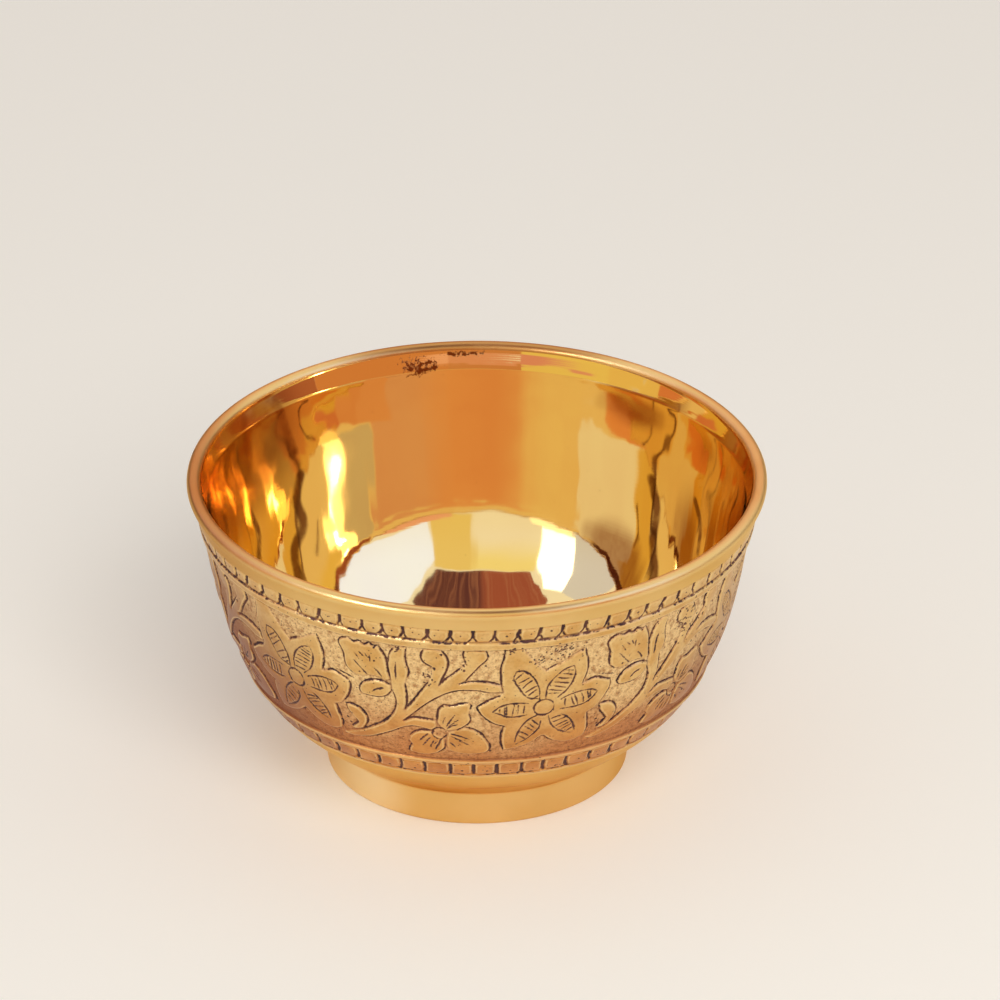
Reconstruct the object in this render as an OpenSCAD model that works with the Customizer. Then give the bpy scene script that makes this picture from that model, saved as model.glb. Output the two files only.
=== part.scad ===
// Footed offering bowl in brass: a cast and turned bowl on a brazed foot ring.
// Millimetres, +Z up. The origin is the centre of the face that the foot rests on.

/* [Bowl] */
// Outside diameter over the lip
rim_d = 110; // [104:0.5:124]
// Height from the table to the top of the lip
bowl_h = 60.5; // [52:0.5:72]
// Thickness of the turned wall
wall_t = 2.2; // [1.4:0.1:3]
// Thickness of the rounded lip
lip_t = 2.6; // [2:0.1:4]
// Diameter where the round belly turns into the flared rim
waist_d = 102.2; // [98:0.2:104]
// How far that turn lies below the top of the lip
waist_drop = 15.8; // [14:0.1:19]
// Steepness of the wall at that turn, in degrees from level
waist_slope = 80.5; // [76:0.5:86]
// Steepness of the wall just under the lip, in degrees from level
lip_slope = 62; // [55:1:70]
// Height of the underside above the table, at its centre
under_z = 4.6; // [3.5:0.1:5.2]
// Thickness of the floor at its centre
floor_t = 2.8; // [2:0.1:4]

/* [Foot ring] */
// Outside diameter of the foot
foot_d = 57.6; // [54:0.2:61]
// Height of the foot's upright face, up to the flared collar
foot_h = 6.8; // [5:0.1:7.2]
// Thickness of the foot's upright wall
foot_t = 3; // [2:0.1:4.5]
// Outside diameter of the collar that spreads under the bowl
collar_d = 70; // [67:0.2:73]
// Height of the collar's outer edge, where the bowl's turned face starts
collar_z = 11.55; // [11:0.05:13]
// Thickness of the collar at its edge
collar_t = 0.9; // [0.5:0.05:1.3]
// Height of the collar's seat at the foot's inner wall
seat_z = 6.2; // [5.7:0.1:6.6]
// Fillet between the foot's upright face and its collar
cove_r = 1.4; // [0.4:0.1:2.4]
// Rounding of the edges that the foot rests on
foot_edge_r = 0.6; // [0.2:0.1:1]

/* [Brazed seam] */
// Width of the line of brazing metal round the collar
seam_w = 0.6; // [0.3:0.05:1]

/* [Turned lines and rings] */
// Width of a turned line at the surface
line_w = 0.5; // [0.3:0.05:0.8]
// Depth of a turned line
line_deep = 0.24; // [0.1:0.02:0.4]
// How far a turned ring stands proud of the wall
ring_proud = 0.2; // [0.1:0.02:0.3]
// Rise from the collar's edge to the line under the lower row of chiselled marks
low_line_rise = 5.85; // [5.4:0.05:6.4]
// Rise from the collar's edge to the line above the lower row of marks
low_border_rise = 10; // [9.6:0.05:10.3]
// Rise from the collar's edge to the top of the ring above that line
low_ring_rise = 11.15; // [10.9:0.05:11.5]
// Drop from the top of the lip to the line at the top of the flower band
band_top_drop = 9.65; // [9.4:0.05:10]
// Drop from the top of the lip to the line over the plain ring above the flower band
ring_top_drop = 7.75; // [7.5:0.05:8.1]
// Drop from the top of the lip to the line over the upper row of chiselled marks
rim_line_drop = 4.75; // [4.4:0.05:5.3]

/* [Hidden] */
$fn = 96;

// Straight pieces that stand for each curved stretch of an outline
belly_steps = 18;
flare_steps = 8;
floor_steps = 12;
arc_steps = 6;

// Lengths of the curves' handles, as shares of the rise or reach of their stretch
belly_low_share = 0.28;
belly_high_share = 0.58;
flare_low_share = 0.385;
flare_high_share = 0.2;
floor_edge_share = 0.24;
floor_centre_share = 0.5;
under_edge_share = 0.12;
under_centre_share = 0.6;

rim_r = rim_d / 2;
lip_r = lip_t / 2;
waist_r = waist_d / 2;
foot_r = foot_d / 2;
foot_in_r = foot_r - foot_t;
collar_r = collar_d / 2;
waist_z = bowl_h - waist_drop;
low_border_z = collar_z + low_border_rise;
band_top_z = bowl_h - band_top_drop;
ring_top_z = bowl_h - ring_top_drop;

// A point moved by a length in a direction given in degrees from level
function along(p, a, d) = p + d * [cos(a), sin(a)];

// Points of a cubic curve, from its first end up to, but not including, its last
function curve(a, b, c, d, n) =
    [for (i = [0:n - 1])
        let (t = i / n, s = 1 - t)
        s * s * s * a + 3 * s * s * t * b + 3 * s * t * t * c + t * t * t * d];

// Points of an arc, both ends included
function arc(centre, r, from, to) =
    [for (i = [0:arc_steps]) along(centre, from + (to - from) * i / arc_steps, r)];

// Steepness of the line from one point to another, in degrees from level
function slope(p, q) = atan2(q[1] - p[1], q[0] - p[0]);

// The points moved to their left by a distance, square to the outline
function inward(points, d) =
    [for (i = [0:len(points) - 1])
        along(points[i], slope(points[max(i - 1, 0)], points[min(i + 1, len(points) - 1)]) + 90, d)];

// The collar runs straight from the top of the foot's upright face to its outer edge
foot_top = [foot_r, foot_h];
collar_edge = [collar_r, collar_z];
collar_slope = slope(foot_top, collar_edge);
collar_top = along(collar_edge, collar_slope + 90, collar_t);
seat_in = [foot_in_r, seat_z];
seat_slope = slope(seat_in, collar_top);
seam_low = along(collar_edge, collar_slope, -seam_w);
seam_top = along(collar_top, seat_slope, -seam_w);

// The wall's outside: the belly, the flare and the lip
waist = [waist_r, waist_z];
lip_centre = [rim_r - lip_r, bowl_h - lip_r];
lip_low = along(lip_centre, lip_slope - 90, lip_r);
belly_rise = waist_z - collar_z;
flare_rise = lip_low[1] - waist_z;
belly_points = curve(
    collar_edge,
    along(collar_edge, collar_slope, belly_rise * belly_low_share),
    along(waist, waist_slope, -belly_rise * belly_high_share),
    waist,
    belly_steps
);
flare_points = curve(
    waist,
    along(waist, waist_slope, flare_rise * flare_low_share),
    along(lip_low, lip_slope, -flare_rise * flare_high_share),
    lip_low,
    flare_steps
);
wall_points = concat(belly_points, flare_points);

// The wall's inside keeps its thickness, and the floor closes it in one curve
inner_points = inward(wall_points, wall_t);
inner_low = inner_points[0];
floor_z = under_z + floor_t;
floor_points = curve(
    [0, floor_z],
    [inner_low[0] * floor_centre_share, floor_z],
    along(inner_low, slope(inner_points[0], inner_points[1]), -inner_low[0] * floor_edge_share),
    inner_low,
    floor_steps
);
under_points = curve(
    [0, under_z],
    [foot_in_r * under_centre_share, under_z],
    along(seat_in, seat_slope, -foot_in_r * under_edge_share),
    seat_in,
    floor_steps
);

// Distance of the wall's outside from the axis at a height
wall_table = [for (p = concat(wall_points, [lip_low])) [p[1], p[0]]];
function wall_r(z) = lookup(z, wall_table);

// Steepness of the wall's outside at a height, in degrees from level
function wall_slope(z) = slope([wall_r(z - line_w), z - line_w], [wall_r(z + line_w), z + line_w]);

// The bowl's section, before its rings and lines
module bowl_section() {
    polygon(concat(
        under_points,
        [seat_in, collar_top],
        wall_points,
        arc(lip_centre, lip_r, lip_slope - 90, lip_slope + 90),
        [for (i = [len(inner_points) - 1:-1:0]) inner_points[i]],
        [for (i = [len(floor_points) - 1:-1:0]) floor_points[i]]
    ));
}

// A turned line: a V that is cut square into the wall at a height
module line_section(z) {
    a = wall_slope(z);
    p = [wall_r(z), z];
    polygon([
        along(along(p, a, line_w), a - 90, line_deep),
        along(along(p, a, -line_w), a - 90, line_deep),
        along(p, a + 90, line_deep)
    ]);
}

// A turned ring: a low step on the wall between two heights
module ring_section(from, to) {
    heights = [from, (from + to) / 2, to];
    polygon(concat(
        [for (z = heights) along([wall_r(z), z], wall_slope(z) - 90, ring_proud)],
        [for (i = [len(heights) - 1:-1:0])
            let (z = heights[i])
            along([wall_r(z), z], wall_slope(z) + 90, wall_t / 2)]
    ));
}

// Bowl: one brass casting, turned inside and out, with its lip left solid
module bowl_body() {
    color("#d9a24a")
    rotate_extrude()
    difference() {
        union() {
            bowl_section();
            ring_section(low_border_z, collar_z + low_ring_rise);
            ring_section(band_top_z, ring_top_z);
        }
        for (z = [low_border_z, band_top_z, ring_top_z]) line_section(z);
        line_section(collar_z + low_line_rise);
        line_section(bowl_h - rim_line_drop);
    }
}

// Foot ring: an upright wall with a collar that seats the bowl
module foot_ring() {
    half_corner = (90 + collar_slope) / 2;
    cove_centre = along(foot_top, half_corner - 90, cove_r / sin(half_corner));
    color("#e0ae58")
    rotate_extrude()
    polygon(concat(
        arc([foot_in_r + foot_edge_r, foot_edge_r], foot_edge_r, 180, 270),
        arc([foot_r - foot_edge_r, foot_edge_r], foot_edge_r, 270, 360),
        arc(cove_centre, cove_r, 180, 90 + collar_slope),
        [seam_low, seam_top, seat_in]
    ));
}

// Brazed seam: brazing metal that fills the step between the collar's edge and the bowl
module braze_seam() {
    color("#c8763a")
    rotate_extrude()
    polygon([seam_low, collar_edge, collar_top, seam_top]);
}

bowl_body();
foot_ring();
braze_seam();
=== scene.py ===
# %% [markdown]
# # A chased brass offering bowl
# The real bowl is one brass casting that a turner cuts smooth inside and out. A chaser then works
# a band of flowers and two rows of border marks into the outside, and a low foot ring is brazed on
# underneath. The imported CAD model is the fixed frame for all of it. Every piece made here sits
# where the CAD says, in metres, with Z up, and nothing is fitted by eye.

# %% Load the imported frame
import math

import bmesh
import bpy
import numpy as np
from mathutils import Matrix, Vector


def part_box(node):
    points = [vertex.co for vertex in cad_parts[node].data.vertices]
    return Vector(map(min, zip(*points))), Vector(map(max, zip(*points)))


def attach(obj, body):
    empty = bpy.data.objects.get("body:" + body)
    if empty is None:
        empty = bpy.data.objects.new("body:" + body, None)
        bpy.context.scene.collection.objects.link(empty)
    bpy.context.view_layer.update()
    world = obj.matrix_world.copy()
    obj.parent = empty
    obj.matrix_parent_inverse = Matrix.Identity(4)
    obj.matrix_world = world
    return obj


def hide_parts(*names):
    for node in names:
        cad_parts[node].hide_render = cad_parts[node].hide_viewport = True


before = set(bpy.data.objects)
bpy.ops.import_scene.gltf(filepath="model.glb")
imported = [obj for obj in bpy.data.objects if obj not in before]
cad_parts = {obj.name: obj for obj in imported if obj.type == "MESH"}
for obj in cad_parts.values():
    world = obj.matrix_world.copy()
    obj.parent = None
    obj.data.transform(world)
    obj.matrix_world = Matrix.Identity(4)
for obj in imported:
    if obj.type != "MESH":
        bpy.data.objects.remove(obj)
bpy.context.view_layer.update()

MM = 0.001

# %% [markdown]
# ## The sizes of the turned work
# These are the sizes that the CAD source names, in millimetres, because this script can't read that
# file. Angles are in degrees from level. The shares shape the cubic curves of the wall, the floor
# and the underside in the same way as there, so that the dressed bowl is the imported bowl.

# %% Name the sizes
RIM_D = 110.0
BOWL_H = 60.5
WALL_T = 2.2
LIP_T = 2.6
WAIST_D = 102.2
WAIST_Z = 44.7
WAIST_SLOPE = 80.5
LIP_SLOPE = 62.0
UNDER_Z = 4.6
FLOOR_T = 2.8
FOOT_D = 57.6
FOOT_H = 6.8
FOOT_T = 3.0
COLLAR_D = 70.0
COLLAR_Z = 11.55
COLLAR_T = 0.9
SEAT_Z = 6.2
COVE_R = 1.4
FOOT_EDGE_R = 0.6
SEAM_W = 0.6
LINE_W = 0.5
LINE_DEEP = 0.24
RING_PROUD = 0.2
LOW_LINE_Z = 17.4
LOW_BORDER_Z = 21.55
LOW_RING_Z = 22.7
BAND_TOP_Z = 50.85
RING_TOP_Z = 52.75
RIM_LINE_Z = 55.75

BELLY_LOW_SHARE = 0.28
BELLY_HIGH_SHARE = 0.58
FLARE_LOW_SHARE = 0.385
FLARE_HIGH_SHARE = 0.2
FLOOR_EDGE_SHARE = 0.24
FLOOR_CENTRE_SHARE = 0.5
UNDER_EDGE_SHARE = 0.12
UNDER_CENTRE_SHARE = 0.6

bowl_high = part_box("bowl_body")[1]
foot_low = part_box("foot_ring")[0]
print("rim radius off by", round(bowl_high.x / MM - RIM_D / 2, 3), "mm")
print("height off by", round(bowl_high.z / MM - BOWL_H, 3), "mm")
print("foot stands at", round(foot_low.z / MM, 3), "mm")

# %% [markdown]
# ## The camera
# The photograph was taken from the front, looking 28 degrees down through a long lens: the rim's
# ellipse gives the angle, and its nearly equal front and back halves give the long distance. The
# bowl's axis lands a little left of the middle of the frame, so the camera stands a little to the
# right, with no shift. A camera could be aimed at the bowl with a constraint, but its place and tilt
# are known from the photograph, so they are written down. The tilt is in radians.

# %% Make the camera
LOOKS_DOWN = 0.4945
camera = bpy.data.objects.new("camera", bpy.data.cameras.new("camera"))
bpy.context.scene.collection.objects.link(camera)
camera.location = (0.00439, -1.61407, 0.92473)  # metres
camera.rotation_euler = (math.pi / 2 - LOOKS_DOWN, 0, 0)
camera.data.lens = 347.86
camera.data.sensor_width = 36
camera.data.clip_start = 0.1
camera.data.clip_end = 20
bpy.context.scene.camera = camera
bpy.context.scene.view_settings.view_transform = "Standard"
print("camera looks down by", round(math.degrees(LOOKS_DOWN), 1), "degrees")

# %% [markdown]
# ## Drawing an outline
# Outlines are drawn in one upright plane, as radius and height in millimetres. Three small helpers
# are enough for all of them: a step in a direction, the direction between two points, and a cubic
# curve, which a few handles bend as a turner's template is bent.


# %% Make the drawing helpers
def along(point, degrees, distance):
    """The point moved by a distance in a direction given in degrees from level."""
    a = math.radians(degrees)
    return np.array(point, float) + distance * np.array([math.cos(a), math.sin(a)])


def slope(p, q):
    """The direction from one point to another, in degrees from level."""
    return math.degrees(math.atan2(q[1] - p[1], q[0] - p[0]))


def cubic(a, b, c, d, steps):
    """Points along the cubic curve from a to d with the handles b and c."""
    t = np.linspace(0, 1, steps + 1)[:, None]
    s = 1 - t
    return s**3 * a + 3 * s * s * t * b + 3 * s * t * t * c + t**3 * d


print("a step of 1 mm at 45 degrees:", along((0, 0), 45, 1).round(3))

# %% [markdown]
# ## The wall's outline
# A turner works to a template. Here the template is a cubic curve from the collar's edge up to the
# waist, and a second one that flares from there to the lip. A traced row of points would do too, but
# two curves are as smooth as turned metal and keep to the CAD. The outline is measured along its own
# length, in millimetres from the point of it that lies 17.6 mm above the table.

# %% Draw the wall's outline
ZERO_Z = 17.6
foot_top = np.array([FOOT_D / 2, FOOT_H])
collar_edge = np.array([COLLAR_D / 2, COLLAR_Z])
waist = np.array([WAIST_D / 2, WAIST_Z])
lip_centre = np.array([(RIM_D - LIP_T) / 2, BOWL_H - LIP_T / 2])
lip_low = along(lip_centre, LIP_SLOPE - 90, LIP_T / 2)
collar_slope = slope(foot_top, collar_edge)
belly_rise = WAIST_Z - COLLAR_Z
flare_rise = lip_low[1] - WAIST_Z
belly = cubic(
    collar_edge,
    along(collar_edge, collar_slope, belly_rise * BELLY_LOW_SHARE),
    along(waist, WAIST_SLOPE, -belly_rise * BELLY_HIGH_SHARE),
    waist,
    160,
)
flare = cubic(
    waist,
    along(waist, WAIST_SLOPE, flare_rise * FLARE_LOW_SHARE),
    along(lip_low, LIP_SLOPE, -flare_rise * FLARE_HIGH_SHARE),
    lip_low,
    80,
)
wall = np.vstack([belly, flare[1:]])
wall_v = np.concatenate([[0], np.cumsum(np.hypot(*np.diff(wall, axis=0).T))])
wall_v -= np.interp(ZERO_Z, wall[:, 1], wall_v)
wall_way = np.gradient(wall, wall_v, axis=0)
wall_way /= np.linalg.norm(wall_way, axis=1)[:, None]


def wall_at(v, deep=0.0):
    """Radius and height of the wall at lengths v along it, sunk by deep, with its outward direction."""
    point = np.stack([np.interp(v, wall_v, wall[:, k]) for k in (0, 1)], -1)
    way = np.stack([np.interp(v, wall_v, wall_way[:, k]) for k in (0, 1)], -1)
    out = np.stack([way[..., 1], -way[..., 0]], -1)
    return point - np.asarray(deep)[..., None] * out, out


def v_of(z):
    """How far along the wall a height in millimetres lies."""
    return float(np.interp(z, wall[:, 1], wall_v))


V_FOOT = v_of(LOW_LINE_Z)
V_TOP = v_of(RIM_LINE_Z)
print("the chased band is", round(V_TOP - V_FOOT, 2), "mm wide along the wall")

# %% [markdown]
# ## A grid for the chasing
# Chasing is a relief: the chaser's punches lower the ground round each flower and cut dark lines
# into it, and nothing overhangs. So it is held as heights on a grid that is wrapped round the wall,
# 0.16 mm apart, which is finer than half a chisel line. Places on it are written as u, millimetres
# round a circle of 50 mm radius from the front, and v, millimetres up along the wall.
# Beside the height, the grid keeps how far each point lies from the nearest chisel line, for crisp
# dark lines later, and how much it belongs to the punched ground.

# %% Lay out the grid
SECTORS = 6
SECTOR_STEPS = 330
COLS = SECTORS * SECTOR_STEPS
ROWS = 256
ROUND = 50.0
TURN = math.tau * ROUND

row_v = np.linspace(V_FOOT, V_TOP, ROWS)
row_point, row_out = wall_at(row_v)
row_k = row_point[:, 0] / ROUND
col_u = (np.arange(COLS) / COLS - 0.5) * TURN
STEP_U = TURN / COLS
STEP_V = row_v[1] - row_v[0]

FAR = 9.0
TINY = 1e-9
to_line = np.full((ROWS, COLS), FAR)
cut = np.zeros((ROWS, COLS))
raised = np.zeros((ROWS, COLS))
tiled = np.zeros((ROWS, COLS))
rng = np.random.default_rng(2406)
print("grid of", ROWS, "rows and", COLS, "columns,", round(STEP_V, 3), "mm apart")


def window(u0, u1, v0, v1):
    """The rows and wrapped columns that cover a patch, with their u and v."""
    i = np.arange(max(0, int((v0 - V_FOOT) / STEP_V)), min(ROWS, int((v1 - V_FOOT) / STEP_V) + 2))
    j = np.arange(int((u0 + TURN / 2) / STEP_U), int((u1 + TURN / 2) / STEP_U) + 2)
    return i, j % COLS, (j * STEP_U - TURN / 2)[None, :], row_v[i][:, None]


# %% [markdown]
# ## The chaser's chisel
# A chisel line follows a smooth hand-drawn path. A Catmull-Rom curve passes through every point that
# it is given, which suits lines that are read off a photograph better than a curve with handles.


# %% Draw smooth paths
def smooth_path(points, spacing=0.4):
    """A Catmull-Rom curve through the points, as points about that far apart."""
    p = np.array(points, float)
    if len(p) == 2:
        n = max(2, int(np.hypot(*(p[1] - p[0])) / spacing) + 1)
        return p[0] + (p[1] - p[0]) * np.linspace(0, 1, n)[:, None]
    ends = np.vstack([2 * p[0] - p[1], p, 2 * p[-1] - p[-2]])
    path = []
    for a, b, c, d in zip(ends, ends[1:], ends[2:], ends[3:]):
        n = max(2, int(np.hypot(*(c - b)) / spacing) + 1)
        t = np.linspace(0, 1, n, endpoint=False)[:, None]
        bend = 2 * a - 5 * b + 4 * c - d + (3 * b - a - 3 * c + d) * t
        path.append(b + 0.5 * t * (c - a + t * bend))
    return np.vstack([*path, p[-1:]])


print("points on a path of 10 mm:", len(smooth_path([(0, 0), (5, 1), (10, 0)])))

# %% [markdown]
# The line itself wavers in width and depth. It could be cut into the mesh with a thin blade, but
# hundreds of cuts that cross would never come out clean. So each short piece of the path marks the
# grid near it: how deep it goes, and how far off its edge is.


# %% Make the chisel
REACH = 1.2
SHOULDER = 0.12


def gap_to(u, v, k, a, b):
    """Distance in millimetres from grid points to the short piece from a to b, and the share along it."""
    dx = (b[0] - a[0]) * k
    dy = b[1] - a[1]
    t = ((u - a[0]) * k * dx + (v - a[1]) * dy) / np.maximum(dx * dx + dy * dy, TINY)
    t = np.clip(t, 0, 1)
    return np.hypot((u - a[0]) * k - t * dx, v - a[1] - t * dy), t


def chisel(points, width=0.3, deep=0.14, waver=0.45, taper=0.6):
    """Cuts a line through the points, thinner at its two ends."""
    path = smooth_path(points)
    along_path = np.linspace(0, 1, len(path))
    knots = rng.uniform(1 - waver, 1 + waver, max(3, len(path) // 3))
    half = width / 2 * np.interp(along_path, np.linspace(0, 1, len(knots)), knots)
    half *= 1 - taper * np.abs(2 * along_path - 1) ** 6
    for a, b, w0, w1 in zip(path, path[1:], half, half[1:]):
        i, j, u, v = window(min(a[0], b[0]) - REACH, max(a[0], b[0]) + REACH,
                            min(a[1], b[1]) - REACH, max(a[1], b[1]) + REACH)
        if len(i) == 0:
            continue
        gap, t = gap_to(u, v, row_k[i][:, None], a, b)
        w = w0 + (w1 - w0) * t
        here = np.ix_(i, j)
        to_line[here] = np.minimum(to_line[here], gap - w)
        dip = deep * (w / (width / 2)) * np.clip(1.25 - gap / (w + SHOULDER), 0, 1)
        cut[here] = np.maximum(cut[here], dip)


print("a chisel line reaches", REACH, "mm")

# %% [markdown]
# A raised leaf or petal is a closed path that the ground falls away from over half a millimetre, as
# the punch leaves it, and its crown rises a little more over the next 1.3 mm. A round punch leaves a
# dent. Both mark the same grid, so that they blend with the chisel lines whatever their order.


# %% Make the pad and the punch
PAD_MARGIN = 0.3
PAD_REACH = 2.5
CROWN_MM = 1.8
CROWN_SHARE = 0.22
DENT_REACH = 1.5


def pad(grid, points, slope_mm=0.5):
    """Marks the inside of the closed path on a grid, from 0 at its edge to 1 on its crown."""
    loop = np.array(points)
    i, j, u, v = window(loop[:, 0].min() - PAD_MARGIN, loop[:, 0].max() + PAD_MARGIN,
                        loop[:, 1].min() - PAD_MARGIN, loop[:, 1].max() + PAD_MARGIN)
    inside = np.zeros((len(i), u.shape[1]), bool)
    gap = np.full(inside.shape, FAR)
    k = row_k[i][:, None]
    for a, b in zip(loop, np.roll(loop, -1, axis=0)):
        if (a == b).all():
            continue
        crosses = (v < a[1]) != (v < b[1])
        rise = b[1] - a[1] if b[1] != a[1] else 1.0
        inside ^= crosses & (u < a[0] + (v - a[1]) * (b[0] - a[0]) / rise)
        near_j = np.abs(u[0] - (a[0] + b[0]) / 2) < PAD_REACH
        near_i = np.abs(v[:, 0] - (a[1] + b[1]) / 2) < PAD_REACH
        if near_i.any() and near_j.any():
            near = np.ix_(near_i, near_j)
            gap[near] = np.minimum(gap[near], gap_to(u[:, near_j], v[near_i], k[near_i], a, b)[0])
    ramp = np.clip(gap / slope_mm, 0, 1)
    crown = CROWN_SHARE * np.clip(gap / CROWN_MM, 0, 1)
    top = ramp * (2 - ramp) * (1 - CROWN_SHARE + crown)
    here = np.ix_(i, j)
    grid[here] = np.maximum(grid[here], np.where(inside, top, 0))


def dent(u0, v0, radius, deep):
    """A round punch mark."""
    i, j, u, v = window(u0 - DENT_REACH, u0 + DENT_REACH, v0 - DENT_REACH, v0 + DENT_REACH)
    gap = np.hypot((u - u0) * row_k[i][:, None], v - v0)
    here = np.ix_(i, j)
    cut[here] = np.maximum(cut[here], deep * np.clip(1.2 - (gap / radius) ** 2, 0, 1))
    to_line[here] = np.minimum(to_line[here], gap - radius * 0.8)


print("a pad's crown is", CROWN_MM, "mm from its edge")

# %% [markdown]
# ## The flower, drawn once
# The band repeats one design six times round the bowl: a scroll that grows from the left, a leaf and
# two buds, a small pansy and a large star flower of six hatched petals. A picture could be embossed
# instead, but drawn outlines are crisp at any size. Each is written as runs between its corners, in u
# and v, with a word that says whether the chaser cut a line along it. The star flower comes first.

# %% Draw the star flower
CUT = True
BARE = False

STAR = [
    (BARE, [(13, 29.4), (11.5, 31), (10, 33), (9, 34.5), (8.6, 35.5)]),
    (BARE, [(8.6, 35.5), (7, 35.9), (5.3, 35.4)]),
    (CUT, [(5.3, 35.4), (5.0, 33.2), (4.5, 31), (4.5, 29), (4.6, 27), (5, 25)]),
    (CUT, [(4.4, 24.1), (2.6, 23.3), (1.1, 22.2), (0, 21.5)]),
    (CUT, [(0, 21.5), (0.5, 20.2), (1.2, 19.1), (2.2, 18), (3.6, 16.9), (5.4, 16.3)]),
    (CUT, [(5.2, 16.1), (4.9, 14.6), (4.8, 12.8), (5, 11), (5.4, 9.4)]),
    (BARE, [(5.4, 9.4), (8, 9.8), (10.5, 10.8), (12, 11.8)]),
    (CUT, [(12, 11.8), (12.8, 12.5), (13.4, 12.7), (14.3, 11.8), (15.5, 10.9)]),
    (BARE, [(15.5, 10.9), (18, 9.9), (20.5, 9.9), (22.4, 10.8)]),
    (CUT, [(22.6, 11.4), (22.8, 13), (22.4, 15.4), (22.1, 17.2)]),
    (BARE, [(22.1, 17.2), (23.4, 17.8), (24.4, 18.8)]),
    (CUT, [(24.4, 18.8), (25.3, 20), (26, 21.4), (26.4, 23), (26.2, 24.2)]),
    (CUT, [(26.2, 24.2), (25, 24.8), (23.6, 25.5), (22.5, 25.7), (21.4, 25.3)]),
    (BARE, [(21.4, 25.3), (20.8, 25)]),
    (CUT, [(20.3, 25), (21, 27.2), (21.2, 28.8), (21, 30.6), (20.6, 32), (20.3, 33.3)]),
    (BARE, [(20.3, 33.3), (18.5, 32.6), (17, 31.6), (15, 30.6)]),
    (CUT, [(15, 30.6), (13.8, 30), (13, 29.4)]),
]

# Each vein: one side from base to tip, the other side from base to tip, and its number of hatches
STAR_VEINS = [
    ([(11.9, 22.9), (9.6, 23.5), (8, 25.8), (6.9, 28.2), (7.3, 30)],
     [(12, 22.6), (11.7, 25.6), (10.5, 28.2), (8.9, 29.8), (7.3, 30)], 6),
    ([(13.1, 22.5), (13.3, 25.3), (14.4, 27.4), (16.3, 29.1), (18.2, 29.8)],
     [(15.4, 22.6), (17.2, 24.2), (18.3, 26.3), (18.6, 28.2), (18.2, 29.8)], 7),
    ([(9.8, 22), (8.3, 22.2), (6, 22.1), (4.4, 21.4), (3, 20.3)],
     [(9.7, 19.1), (7.8, 18.7), (5.8, 18.9), (4.4, 19.6), (3, 20.3)], 6),
    ([(16.1, 22), (18, 22.8), (20.4, 23.2), (22.3, 23), (23.6, 22.2)],
     [(16.2, 19.6), (18.3, 19.5), (20.6, 19.7), (22.4, 20.6), (23.6, 22.2)], 6),
    ([(11.7, 18.8), (9.9, 17.5), (8.7, 15.8), (8, 13.9), (7.6, 11.6)],
     [(12.5, 17.2), (12.3, 15.4), (11.2, 13.6), (9.6, 12.2), (7.9, 11.2)], 5),
    ([(13.9, 18.3), (14.6, 16), (16, 14.2), (17.8, 13), (19.5, 12.4)],
     [(16.3, 18.4), (18.1, 16.9), (19.2, 15.2), (19.7, 13.8), (19.9, 12.8)], 6),
]
STAR_CENTRE = (12.9, 20.55)
STAR_CENTRE_R = 1.95
print("star flower:", len(STAR), "runs,", len(STAR_VEINS), "veins")

# %% [markdown]
# The scroll is one closed outline that ends in two buds and a torn leaf, beside a smaller side leaf,
# a sprout and half a flower. Single strokes and punched dots are drawn on them.

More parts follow.
